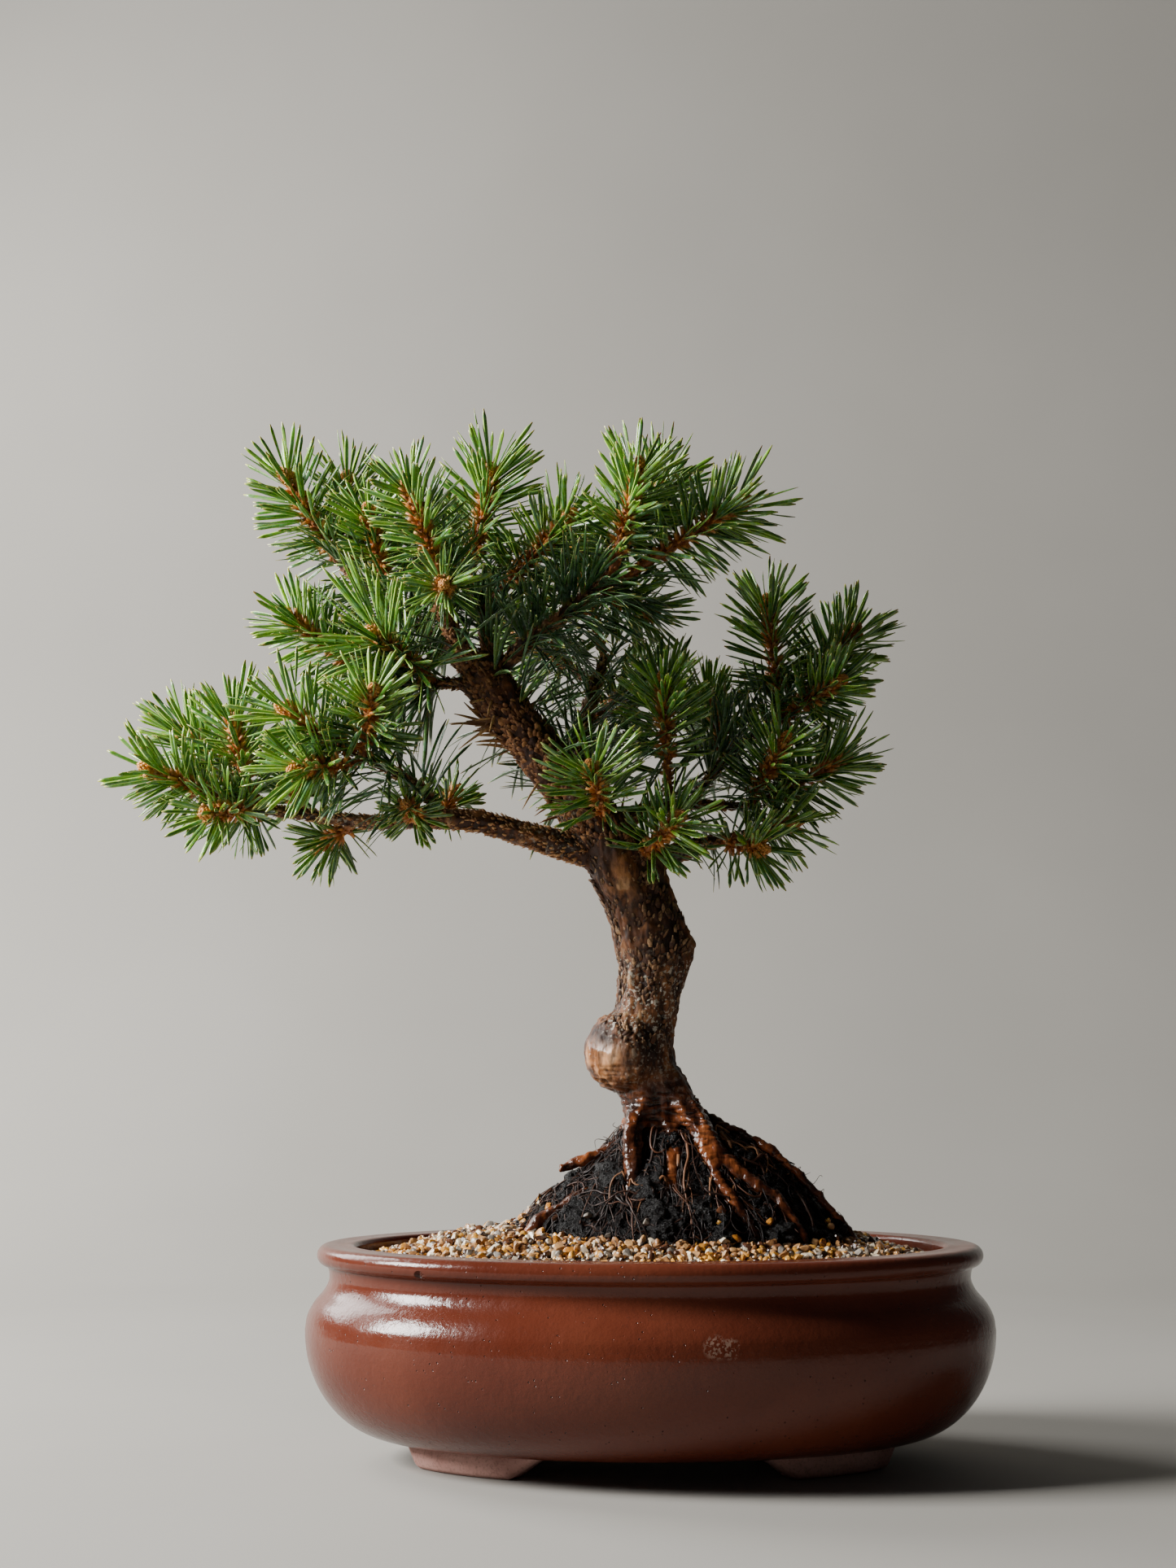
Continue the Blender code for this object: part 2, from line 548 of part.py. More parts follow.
class Shoot:
    """A straight stem tip with whorls of needles round it and a bud on top."""

    def __init__(self, name, parent_route, fraction, reach, needle, taken):
        base, parent_radius = along(parent_route, fraction)
        self.name = name
        self.needle = needle
        self.tip = base + Vector(reach)
        direction = Vector(reach).normalized()
        start = parent_radius + GAP
        self.base = base + direction * start
        while not clear_of(self.stem_beads(), taken, GAP):
            start += 0.5
            self.base = base + direction * start
        self.length = (self.tip - self.base).length
        self.frame = Matrix.Translation(self.base) @ direction.to_track_quat("Z", "Y").to_matrix().to_4x4()

    def stem_beads(self):
        return bead_string(self.base, self.tip, SHOOT_RADIUS, SHOOT_RADIUS)

    def core(self):
        """Prism with one side face for each needle."""
        rings = max(2, round(self.length / RING_SPACING))
        bm = bmesh.new()
        bmesh.ops.create_cone(bm, cap_ends=True, segments=SHOOT_SIDES, radius1=SHOOT_RADIUS,
                              radius2=SHOOT_RADIUS, depth=self.length)
        bmesh.ops.translate(bm, vec=(0.0, 0.0, self.length / 2), verts=bm.verts)
        uprights = [edge for edge in bm.edges if abs(edge.verts[0].co.z - edge.verts[1].co.z) > 1.0]
        bmesh.ops.subdivide_edges(bm, edges=uprights, cuts=rings - 1, use_grid_fill=True)
        return bm

    def grow(self, taken, random):
        """Draw out each side face to a needle where there is room; returns its beads."""
        bm = self.core()
        for vert in bm.verts:
            twist = Matrix.Rotation(WHORL_TWIST * vert.co.z / RING_SPACING, 3, "Z")
            vert.co = twist @ vert.co
        bm.normal_update()
        sides = [face for face in bm.faces if abs(face.normal.z) < 0.7]
        top = [face for face in bm.faces if face.normal.z > 0.9]
        bud = bmesh.ops.poke(bm, faces=top)["verts"][0]
        bud.co.z += BUD_LENGTH
        beads = [self.stem_beads()]
        centres = bmesh.ops.poke(bm, faces=sides)["verts"]
        for centre in sorted(centres, key=lambda vert: (round(vert.co.z, 3), math.atan2(vert.co.y, vert.co.x))):
            height = centre.co.z / self.length
            scatter = random.uniform(-LEAN_SCATTER, LEAN_SCATTER)
            lean = math.radians(WIDE_LEAN + (NARROW_LEAN - WIDE_LEAN) * height + scatter)
            outward = Vector((centre.co.x, centre.co.y, 0.0)).normalized()
            direction = outward * math.sin(lean) + Vector((0.0, 0.0, math.cos(lean)))
            length = self.needle * random.uniform(*NEEDLE_SCATTER)
            for share in NEEDLE_SHARES:
                tip = centre.co + direction * length * share
                start = self.frame @ (centre.co + direction * BEAD_SPACING)
                needle = bead_string(start, self.frame @ tip, NEEDLE_BASE, NEEDLE_TIP)
                if clear_of(needle, taken, NEEDLE_CLEARANCE):
                    centre.co = tip
                    beads.append(needle)
                    break
        piece = add_part(self.name, to_mesh(self.name, bm), NEEDLES)
        piece.location = self.frame.to_translation() * MM
        piece.rotation_mode = "QUATERNION"
        piece.rotation_quaternion = self.frame.to_quaternion()
        return np.vstack(beads)


def make_shoots():
    """Place every shoot's stem first, then grow the needles into the room left."""
    random = np.random.default_rng(7)
    routes = {name: smooth_route(points, STEM_STEP) for name, (_, points) in STEMS.items()}
    routes["trunk"] = smooth_route(TRUNK, TRUNK_STEP)
    wood = []
    for route in routes.values():
        for start, stop in zip(route, route[1:]):
            wood.append(bead_string(Vector(start[:3]), Vector(stop[:3]), start[3], stop[3]))
    taken = [np.vstack(wood)]
    shoots = []
    for number, (parent, fraction, reach, needle) in enumerate(SHOOTS, start=1):
        shoot = Shoot(f"shoot_{number:02d}", routes[parent], fraction, reach, needle, np.vstack(taken))
        taken.append(shoot.stem_beads())
        shoots.append(shoot)
    for number, shoot in enumerate(shoots, start=1):
        others = np.vstack(taken[:number] + taken[number + 1:])
        taken[number] = shoot.grow(others, random)


# ----------------------------------------------------------------- the object
def stand_on_origin():
    """Carry everything on an empty so that the footprint's middle is the origin."""
    bpy.context.view_layer.update()
    corners = np.vstack([[piece.matrix_world @ vert.co for vert in evaluated_mesh(piece).vertices]
                         for piece in PARTS.objects])
    low = corners.min(axis=0)
    high = corners.max(axis=0)
    carrier = bpy.data.objects.new("carrier", None)
    bpy.context.scene.collection.objects.link(carrier)
    for collection in (PARTS, CUTTERS, ROOT_STOCK, ROOT_ROOM):
        for piece in collection.objects:
            piece.parent = carrier
    carrier.location = (-(low[0] + high[0]) / 2, -(low[1] + high[1]) / 2, -low[2])


make_pot()
for which, offset in (("left", -HOLE_OFFSET), ("right", HOLE_OFFSET)):
    make_screen(which, offset)
    make_clip(which, offset)
make_wood()
make_soil()
make_shoots()
stand_on_origin()
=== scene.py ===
"""Looks of the pine bonsai: fine needles, bark, roots, grit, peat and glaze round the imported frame."""
import math

import bmesh
import bpy
import numpy as np
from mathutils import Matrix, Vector, noise
from mathutils.bvhtree import BVHTree


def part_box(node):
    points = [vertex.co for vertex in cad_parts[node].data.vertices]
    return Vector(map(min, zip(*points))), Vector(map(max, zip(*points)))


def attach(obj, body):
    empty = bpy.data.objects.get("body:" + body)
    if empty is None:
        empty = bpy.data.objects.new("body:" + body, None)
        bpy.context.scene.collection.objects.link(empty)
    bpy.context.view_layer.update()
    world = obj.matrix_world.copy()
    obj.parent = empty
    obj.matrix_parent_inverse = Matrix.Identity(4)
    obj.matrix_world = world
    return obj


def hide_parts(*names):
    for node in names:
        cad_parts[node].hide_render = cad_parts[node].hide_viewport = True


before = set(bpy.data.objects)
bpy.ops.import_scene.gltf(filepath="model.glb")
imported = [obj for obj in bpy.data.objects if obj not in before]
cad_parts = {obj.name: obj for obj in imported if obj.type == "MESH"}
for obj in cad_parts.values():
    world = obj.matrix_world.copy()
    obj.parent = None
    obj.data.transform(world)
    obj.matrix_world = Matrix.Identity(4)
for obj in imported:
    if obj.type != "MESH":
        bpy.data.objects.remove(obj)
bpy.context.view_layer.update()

MM = 0.001
POT_LOW, POT_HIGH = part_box("pot")
POT_MIDDLE = (POT_LOW + POT_HIGH) / 2
POT_LENGTH = POT_HIGH.x - POT_LOW.x
POT_DEPTH = POT_HIGH.y - POT_LOW.y
POT_HEIGHT = POT_HIGH.z - POT_LOW.z
GOLDEN_ANGLE = math.radians(137.508)


# -------------------------------------------------------------------- helpers
def mesh_of(name, verts, quads):
    """A smooth mesh from an array of points and one of four-cornered faces."""
    mesh = bpy.data.meshes.new(name)
    verts = np.asarray(verts, np.float32)
    quads = np.asarray(quads, np.int32)
    mesh.vertices.add(len(verts))
    mesh.vertices.foreach_set("co", verts.ravel())
    mesh.loops.add(quads.size)
    mesh.loops.foreach_set("vertex_index", quads.ravel())
    mesh.polygons.add(len(quads))
    mesh.polygons.foreach_set("loop_start", np.arange(len(quads), dtype=np.int32) * 4)
    mesh.update(calc_edges=True)
    mesh.validate()
    mesh.shade_smooth()
    return mesh


def add_piece(name, mesh, material, slot, *nodes):
    """Link a finished mesh, let it ride on the pot's body and stand for its CAD nodes."""
    piece = bpy.data.objects.new(name, mesh)
    bpy.context.scene.collection.objects.link(piece)
    mesh.materials.append(material)
    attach(piece, "root")
    if nodes:
        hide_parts(*nodes)
    return piece


def paint(mesh, name, red, green, blue):
    """Store three values a point for the materials to read."""
    values = np.column_stack([red, green, blue, np.ones(len(red))])
    layer = mesh.color_attributes.new(name, "FLOAT_COLOR", "POINT")
    layer.data.foreach_set("color", values.astype(np.float32).ravel())


def paint_strands(mesh, along, each, across):
    """Tell a material how far along a strand a point is, the strand's shade, and if it is on an edge."""
    shape = (len(each), len(along), len(across))
    parts = [np.broadcast_to(part, shape).ravel()
             for part in (along[None, :, None], each[:, None, None], across[None, None, :])]
    paint(mesh, "strand", *parts)


def read(items, key, width, kind=np.float32):
    """One array row for each item of a mesh."""
    values = np.empty(len(items) * width, kind)
    items.foreach_get(key, values)
    return values.reshape(-1, width)


def points_of(mesh):
    return read(mesh.vertices, "co", 3).astype(float)


def normals_of(mesh):
    return read(mesh.vertices, "normal", 3).astype(float)


def edges_of(mesh):
    return read(mesh.edges, "vertices", 2, np.int32)


def move_points(mesh, verts):
    mesh.vertices.foreach_set("co", verts.astype(np.float32).ravel())
    mesh.update()


def unit(rows):
    """Vectors scaled to length 1."""
    return rows / (np.linalg.norm(rows, axis=-1, keepdims=True) + 1e-12)


def square_to(axes, rows):
    """Unit vectors at right angles to the axes, each as near as can be to its row."""
    return unit(rows - (rows * axes).sum(axis=1)[:, None] * axes)


def two_across(axis, hint):
    """Two unit vectors at right angles to an axis and to each other."""
    first = unit(np.cross(axis, hint))
    return first, np.cross(axis, first)


def ring_quads(rings, sides):
    """Faces between the points of neighbouring rings, each closed on itself."""
    row = np.arange(rings - 1)[:, None] * sides
    here = np.arange(sides)[None, :]
    there = (here + 1) % sides
    return np.stack([row + here, row + there, row + there + sides, row + here + sides], axis=2).reshape(-1, 4)


def copies(quads, size, count):
    """The faces of many like shapes of size points each."""
    return (np.asarray(quads)[None, :, :] + (np.arange(count) * size)[:, None, None]).reshape(-1, 4)


def cad_shells(names):
    """The named CAD nodes' meshes together."""
    bm = bmesh.new()
    for name in names:
        bm.from_mesh(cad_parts[name].data)
    return bm


def surface_of(names):
    """A search tree over the named CAD nodes' faces."""
    bm = cad_shells(names)
    tree = BVHTree.FromBMesh(bm)
    bm.free()
    return tree


def remeshed(names, voxel):
    """One even skin over all the shells of the named CAD nodes."""
    bm = cad_shells(names)
    bmesh.ops.remove_doubles(bm, verts=bm.verts, dist=1e-6)
    mesh = bpy.data.meshes.new("joined")
    bm.to_mesh(mesh)
    bm.free()
    holder = bpy.data.objects.new("holder", mesh)
    bpy.context.scene.collection.objects.link(holder)
    modifier = holder.modifiers.new("skin", "REMESH")
    modifier.mode = "VOXEL"
    modifier.voxel_size = voxel
    depsgraph = bpy.context.evaluated_depsgraph_get()
    made = bpy.data.meshes.new_from_object(holder.evaluated_get(depsgraph))
    bpy.data.objects.remove(holder, do_unlink=True)
    return made


def smoothed(verts, edges, rounds, shrink=-0.53):
    """Taubin smoothing: rounds facets off and keeps thin twigs thick."""
    count = np.bincount(edges.ravel(), minlength=len(verts)).astype(float)[:, None]
    for step in range(rounds * 2):
        total = np.zeros_like(verts)
        np.add.at(total, edges[:, 0], verts[edges[:, 1]])
        np.add.at(total, edges[:, 1], verts[edges[:, 0]])
        weight = 0.5 if step % 2 == 0 else shrink
        verts = verts + weight * (total / count - verts)
    return verts


def smoothstep(low, high, value):
    share = np.clip((value - low) / (high - low), 0.0, 1.0)
    return share * share * (3.0 - 2.0 * share)


def catmull(points, steps):
    """Smooth curve through the rows of an array."""
    knots = np.asarray(points, float)
    knots = np.vstack([2 * knots[0] - knots[1], knots, 2 * knots[-1] - knots[-2]])
    t = (np.arange(steps) / steps)[:, None]
    rows = []
    for i in range(1, len(knots) - 2):
        a, b, c, d = knots[i - 1:i + 3]
        curve = (c - a) * t + (2 * a - 5 * b + 4 * c - d) * t ** 2 + (3 * b - a - 3 * c + d) * t ** 3
        rows.append(b + 0.5 * curve)
    rows.append(knots[-2][None, :])
    return np.vstack(rows)


class Tubes:
    """Collects tapering round tubes into one mesh."""

    def __init__(self, sides):
        self.sides = sides
        self.verts = []
        self.quads = []
        self.tags = []
        self.count = 0

    def add(self, points, radii, shade):
        points = np.asarray(points, float)
        along = unit(np.gradient(points, axis=0))
        side = unit(np.cross(along, [0.31, 0.22, 0.925]))
        up = np.cross(along, side)
        angles = (np.arange(self.sides) / self.sides * 2 * math.pi)[None, :, None]
        rings = np.cos(angles) * side[:, None, :] + np.sin(angles) * up[:, None, :]
        verts = points[:, None, :] + rings * np.asarray(radii)[:, None, None]
        rows = len(points)
        self.quads.append(self.count + ring_quads(rows, self.sides))
        self.cap(self.count, reverse=True)
        self.cap(self.count + (rows - 1) * self.sides, reverse=False)
        self.verts.append(verts.reshape(-1, 3))
        share = np.repeat(np.linspace(0.0, 1.0, rows), self.sides)
        self.tags.append(np.column_stack([share, np.full_like(share, shade), share * 0]))
        self.count += rows * self.sides

    def cap(self, first, reverse):
        """Close an end with strips of quads across the ring."""
        for i in range((self.sides - 2) // 2):
            corners = [i, i + 1, self.sides - 2 - i, self.sides - 1 - i]
            if reverse:
                corners.reverse()
            self.quads.append(np.array([[first + corner for corner in corners]]))

    def mesh(self, name):
        made = mesh_of(name, np.vstack(self.verts), np.vstack(self.quads))
        paint(made, "strand", *np.vstack(self.tags).T)
        return made


# ------------------------------------------------------------------ materials
class Nodes:
    """Short way to write a node tree: every call adds a node and returns its output."""

    def __init__(self, name):
        self.material = bpy.data.materials.new(name)
        self.material.use_nodes = True
        self.tree = self.material.node_tree
        self.shader = self.tree.nodes["Principled BSDF"]
        self.coordinates = self.add("ShaderNodeTexCoord").outputs["Object"]

    def add(self, kind, **settings):
        node = self.tree.nodes.new(kind)
        for key, value in settings.items():
            setattr(node, key, value)
        return node

    def feed(self, socket, value):
        if isinstance(value, bpy.types.NodeSocket):
            self.tree.links.new(value, socket)
        elif isinstance(value, (tuple, list)) and len(value) == 3 and socket.type == "RGBA":
            socket.default_value = (*value, 1.0)
        else:
            socket.default_value = value

    def filled(self, kind, **inputs):
        """A node with its inputs set by name, a space written as an underscore."""
        node = self.add(kind)
        for name, value in inputs.items():
            self.feed(node.inputs[name.replace("_", " ")], value)
        return node

    def noise(self, scale, detail=4.0, stretch=(1.0, 1.0, 1.0), roughness=0.55, distortion=0.0):
        mapping = self.filled("ShaderNodeMapping", Vector=self.coordinates, Scale=stretch)
        return self.filled("ShaderNodeTexNoise", Vector=mapping.outputs["Vector"], Scale=scale, Detail=detail,
                           Roughness=roughness, Distortion=distortion).outputs["Fac"]

    def cells(self, scale):
        """Distance from the middle of the nearest of many random cells."""
        node = self.filled("ShaderNodeTexVoronoi", Vector=self.coordinates, Scale=scale)
        return node.outputs["Distance"]

    def attribute(self, name):
        node = self.add("ShaderNodeAttribute", attribute_name=name)
        split = self.add("ShaderNodeSeparateColor")
        self.feed(split.inputs["Color"], node.outputs["Color"])
        return split.outputs["Red"], split.outputs["Green"], split.outputs["Blue"]

    def ramp(self, factor, *stops):
        node = self.add("ShaderNodeValToRGB")
        elements = node.color_ramp.elements
        while len(elements) < len(stops):
            elements.new(0.5)
        for element, (place, colour) in zip(elements, stops):
            element.position = place
            element.color = (*colour, 1.0)
        self.feed(node.inputs["Fac"], factor)
        return node.outputs["Color"]

    def mix(self, factor, first, second):
        node = self.add("ShaderNodeMix", data_type="RGBA")
        self.feed(node.inputs["Factor"], factor)
        self.feed(node.inputs[6], first)      # A and B of the colour mix
        self.feed(node.inputs[7], second)
        return node.outputs[2]

    def lay(self, tone, colour, mask, low, high, most=1.0):
        """Lay a tone over a colour, from nothing where a mask is low to most where it is high."""
        return self.mix(self.range(mask, low, high, 0.0, most), colour, tone)

    def math(self, operation, first, second):
        node = self.add("ShaderNodeMath", operation=operation)
        self.feed(node.inputs[0], first)
        self.feed(node.inputs[1], second)
        return node.outputs[0]

    def range(self, value, low, high, new_low=0.0, new_high=1.0):
        node = self.filled("ShaderNodeMapRange", Value=value, From_Min=low, From_Max=high, To_Min=new_low,
                           To_Max=new_high)
        return node.outputs["Result"]

    def spot(self, centre, radius):
        """1 at a point of the piece, fading to 0 at a radius from it."""
        node = self.add("ShaderNodeVectorMath", operation="DISTANCE")
        self.feed(node.inputs[0], self.coordinates)
        node.inputs[1].default_value = centre
        return self.range(node.outputs["Value"], radius * 0.55, radius, 1.0, 0.0)

    def bump(self, height, distance, strength=1.0, under=None):
        node = self.filled("ShaderNodeBump", Strength=strength, Distance=distance, Height=height)
        if under:
            self.feed(node.inputs["Normal"], under)
        return node.outputs["Normal"]

    def finish(self, colour, roughness, normal=None, **uniform):
        self.feed(self.shader.inputs["Base Color"], colour)
        self.feed(self.shader.inputs["Roughness"], roughness)
        if normal:
            self.feed(self.shader.inputs["Normal"], normal)
        for name, value in uniform.items():
            self.shader.inputs[name.replace("_", " ")].default_value = value
        return self.material


def needle_material(name, dark, middle, light, edge):
    """Waxy needles: a dark middle between pale edges, yellow at the tip and the sheath. The pale edges are partly
    the needles' own paler rims and partly painted light glowing through them.
    """
    n = Nodes(name)
    along, each, across = n.attribute("strand")
    body = n.ramp(each, (0.0, dark), (0.5, middle), (1.0, light))
    # Painted light in part: the bright edge colour stands for light shining through the thin needle edges.
    edged_with_glow = n.lay(edge, body, across, 0.30, 0.95, 0.95)
    waxed = n.lay((0.20, 0.38, 0.28), edged_with_glow, n.noise(260.0, 3.0), 0.48, 0.62, 0.35)
    tipped = n.lay((0.60, 0.56, 0.14), waxed, along, 0.90, 1.0, 0.85)
    rooted = n.mix(n.range(along, 0.0, 0.12, 0.9, 0.0), tipped, (0.42, 0.38, 0.08))
    grain = n.noise(900.0, 2.0)
    colour = n.lay(dark, rooted, grain, 0.4, 0.7, 0.25)
    rough = n.range(n.noise(500.0, 2.0), 0.3, 0.7, 0.22, 0.38)
    return n.finish(colour, rough, n.bump(grain, 0.0001, 0.4), Subsurface_Weight=0.08, Subsurface_Scale=0.0010,
                    Specular_IOR_Level=0.65)


def shoot_bark_material():
    """Orange-brown stems, sheaths and bud scales with pale ends."""
    n = Nodes("shoot_bark")
    along, each, _ = n.attribute("strand")
    base = n.ramp(each, (0.0, (0.13, 0.036, 0.008)), (0.4, (0.40, 0.125, 0.020)), (0.75, (0.68, 0.26, 0.045)),
                  (1.0, (0.92, 0.43, 0.095)))
    spots = n.noise(1400.0, 3.0)
    colour = n.lay((0.09, 0.026, 0.008), base, spots, 0.48, 0.72, 0.55)
    light = n.lay((0.88, 0.55, 0.22), colour, along, 0.6, 1.0, 0.40)
    return n.finish(light, 0.5, n.bump(spots, 0.0002, 0.6), Subsurface_Weight=0.1, Subsurface_Scale=0.001)


def scale_material(name, dark, middle, light):
    """Dry scales of bark on twigs, leader and trunk."""
    n = Nodes(name)
    along, each, _ = n.attribute("strand")
    base = n.ramp(each, (0.0, dark), (0.55, middle), (1.0, light))
    spots = n.noise(1000.0, 4.0)
    worn = n.lay(light, n.lay(dark, base, spots, 0.42, 0.66, 0.7), along, 0.55, 1.0, 0.5)
    return n.finish(worn, 0.72, n.bump(spots, 0.0003, 0.7))


def wood_material():
    """Flaky bark above, a smooth tan burl, and wet wrinkled root wood below."""
    n = Nodes("bark")
    flaky, groove_shade, burl = n.attribute("skin")
    plate, lichened, wrinkle_shade = n.attribute("relief")
    fine = n.noise(420.0, 6.0, (1.0, 1.0, 0.5))
    tint = n.noise(90.0, 4.0, (1.0, 1.0, 0.6))
    # Low plates are darker, partly the bark's own inner layers and partly painted shade in the recesses; the plate
    # value also carries the painted shade above the fork.
    bark = n.ramp(plate, (0.0, (0.026, 0.008, 0.004)), (0.35, (0.085, 0.026, 0.008)), (0.6, (0.23, 0.078, 0.022)),
                  (0.85, (0.40, 0.17, 0.060)), (1.0, (0.56, 0.33, 0.16)))
    bark = n.lay((0.42, 0.17, 0.052), bark, n.noise(70.0, 4.0, (1.0, 1.0, 0.45)), 0.58, 0.66, 0.65)
    bark = n.lay((0.036, 0.015, 0.008), bark, tint, 0.45, 0.62, 0.75)
    bark = n.lay((0.026, 0.011, 0.007), bark, fine, 0.44, 0.62, 0.85)
    speckle = n.math("MULTIPLY", n.range(n.noise(760.0, 4.0), 0.54, 0.60), lichened)
    bark = n.lay((0.62, 0.58, 0.47), bark, speckle, 0.0, 1.0, 0.9)
    # Painted shade: the grooves between bark plates are darkened almost to black.
    bark = n.lay((0.016, 0.008, 0.005), bark, groove_shade, 0.0, 1.0, 0.85)
    streaks = n.noise(150.0, 5.0, (1.0, 1.0, 0.25), 0.6, 0.6)
    root = n.ramp(streaks, (0.28, (0.016, 0.005, 0.003)), (0.44, (0.075, 0.019, 0.007)),
                  (0.58, (0.20, 0.055, 0.016)), (0.76, (0.38, 0.13, 0.045)))
    root = n.lay((0.022, 0.008, 0.005), root, n.noise(60.0, 4.0), 0.50, 0.62, 0.75)
    tan = n.ramp(streaks, (0.34, (0.070, 0.020, 0.007)), (0.46, (0.38, 0.15, 0.052)), (0.60, (0.68, 0.37, 0.18)),
                 (0.78, (0.86, 0.64, 0.44)))
    root = n.mix(burl, root, tan)
    # Painted shade: the wrinkles, rings and cracks of the smooth wood are darkened almost to black.
    root = n.lay((0.010, 0.004, 0.003), root, wrinkle_shade, 0.0, 1.0, 0.92)
    relief = n.bump(streaks, 0.0005, 0.7, n.bump(fine, 0.0006, 0.9))
    return n.finish(n.mix(flaky, root, bark), n.range(flaky, 0.0, 1.0, 0.16, 0.66), relief,
                    Specular_IOR_Level=0.42)


def peat_material():
    """Black and wet, with a dull gleam on its lumps."""
    n = Nodes("peat")
    lumps = n.noise(260.0, 6.0, roughness=0.7)
    colour = n.ramp(lumps, (0.3, (0.001, 0.0008, 0.0008)), (0.6, (0.003, 0.002, 0.002)),
                    (0.8, (0.009, 0.006, 0.005)))
    rough = n.range(n.noise(700.0, 3.0), 0.35, 0.65, 0.16, 0.42)
    shreds = n.noise(900.0, 4.0, roughness=0.7)
    relief = n.bump(shreds, 0.0010, 1.0, n.bump(lumps, 0.0016, 1.0))
    return n.finish(colour, rough, relief, Specular_IOR_Level=0.18)


def root_fibre_material():
    """Side roots and hair roots, from black and wet to tan and dry."""
    n = Nodes("root_fibres")
    _, each, _ = n.attribute("strand")
    base = n.ramp(each, (0.0, (0.007, 0.004, 0.004)), (0.35, (0.022, 0.009, 0.006)), (0.7, (0.11, 0.040, 0.018)),
                  (1.0, (0.36, 0.17, 0.075)))
    spots = n.noise(600.0, 4.0, (1.0, 1.0, 0.4))
    colour = n.lay((0.016, 0.008, 0.006), base, spots, 0.45, 0.7, 0.7)
    return n.finish(colour, n.range(spots, 0.3, 0.7, 0.3, 0.6), n.bump(spots, 0.0003, 0.6),
                    Specular_IOR_Level=0.28)


def stone_material(name, dark, light, rough):
    """Grit of one kind, each stone in its own shade, with darker grain and pale specks."""
    n = Nodes(name)
    _, each, _ = n.attribute("strand")
    grain = n.noise(900.0, 4.0)
    darker = tuple(0.42 * part for part in dark)
    paler = tuple(min(1.0, 1.35 * part) for part in light)
    colour = n.lay(darker, n.mix(each, dark, light), grain, 0.35, 0.7, 0.55)
    colour = n.mix(n.range(n.cells(1500.0), 0.0, 0.25, 0.35, 0.0), colour, paler)
    return n.finish(colour, rough, n.bump(grain, 0.0003, 0.6))


def glaze_material():
    """Reddish-brown glaze with pits, faint turning lines, a chip in the lip and a pale scuff."""
    n = Nodes("glaze")
    colour = n.ramp(n.noise(14.0, 4.0), (0.3, (0.072, 0.014, 0.007)), (0.5, (0.100, 0.022, 0.011)),
                    (0.7, (0.130, 0.032, 0.016)))
    fleck = n.noise(900.0, 3.0)
    colour = n.lay((0.075, 0.022, 0.014), colour, fleck, 0.55, 0.75, 0.45)
    pits = n.range(n.cells(420.0), 0.0, 0.16, 1.0, 0.0)
    pit = n.math("MULTIPLY", pits, n.range(n.noise(120.0, 2.0), 0.52, 0.60))
    colour = n.lay((0.025, 0.010, 0.008), colour, pit, 0.0, 1.0, 0.75)
    scuffed = n.math("MAXIMUM", *(n.spot(front_point(*place), radius * MM) for place, radius in SCUFF))
    dots = n.math("MULTIPLY", scuffed, n.range(n.noise(820.0, 2.0), 0.50, 0.56))
    colour = n.lay((0.36, 0.25, 0.19), colour, dots, 0.0, 1.0, 0.5)
    chip = n.math("MULTIPLY", n.spot(front_point(*CHIP_PLACE), CHIP_RADIUS * MM),
                  n.range(n.noise(420.0, 2.0), 0.36, 0.50))
    colour = n.mix(chip, colour, (0.020, 0.008, 0.006))
    turning = n.noise(9.0, 3.0, (0.3, 0.3, 26.0))
    peel = n.noise(300.0, 3.0)
    relief = None
    for height, distance, strength in ((turning, 0.0006, 0.22), (peel, 0.00040, 0.45), (fleck, 0.00016, 0.55),
                                       (pit, -0.0006, 1.0), (chip, -0.0012, 1.0)):
        relief = n.bump(height, distance, strength, relief)
    rough = n.range(n.noise(60.0, 4.0), 0.3, 0.7, 0.15, 0.27)
    return n.finish(colour, rough, relief, Specular_IOR_Level=0.26, Coat_Weight=0.14, Coat_Roughness=0.06)


def bare_clay_material():
    """The unglazed feet."""
    n = Nodes("bare_clay")
    grain = n.noise(1100.0, 4.0)
    colour = n.ramp(n.noise(50.0, 5.0), (0.3, (0.38, 0.19, 0.16)), (0.7, (0.56, 0.33, 0.28)))
    colour = n.lay((0.09, 0.04, 0.03), colour, grain, 0.5, 0.7, 0.4)
    return n.finish(colour, 0.8, n.bump(grain, 0.0002, 0.7))


def plain_material(name, dark, light, rough, scale, metallic=0.0):
    """A quiet finish for pieces that are hidden or nearly so."""
    n = Nodes(name)
    grain = n.noise(scale, 4.0)
    colour = n.ramp(grain, (0.35, dark), (0.65, light))
    return n.finish(colour, rough, n.bump(grain, 0.0002, 0.5), Metallic=metallic)


# ------------------------------------------------------------------------ pot
FOOT_RING = 92.0             # half length of the ring that the feet follow, mm
FOOT_INNER = 81.0
FOOT_TOP = 9.5
FOOT_SPREAD = 37.0           # how much narrower the feet's ring is than it is long
FLOOR_UNDER = 8.0            # heights of the pot's floor, below and above
FLOOR_OVER = 16.0
BELLY_HEIGHT = 46.0
POT_ROUND = 240              # points round the pot
CHIP_PLACE = (121.5, -80.0, 69.5)    # half length of the ring, place along the front and height, mm
CHIP_RADIUS = 2.6
SCUFF = (((124.0, 19.0, 49.5), 4.6), ((124.0, 24.0, 49.0), 4.0))


def oval_points(radius, angle):
    """Half axes shrink together from the belly, as the CAD pot's do; millimetres in, metres out."""
    squeeze = (POT_LENGTH - POT_DEPTH) / 2 / MM
    fair = np.maximum(radius, POT_LENGTH / 3 / MM)
    x = radius * np.cos(angle) * MM + POT_MIDDLE.x
    y = radius * np.sin(angle) * (fair - squeeze) / fair * MM + POT_MIDDLE.y
    return x, y


def front_point(radius, x, z):
    """Where the pot's front stands on a ring, x along it from the middle and z up."""
    return (*oval_points(radius, -math.acos(x / radius)), z * MM)


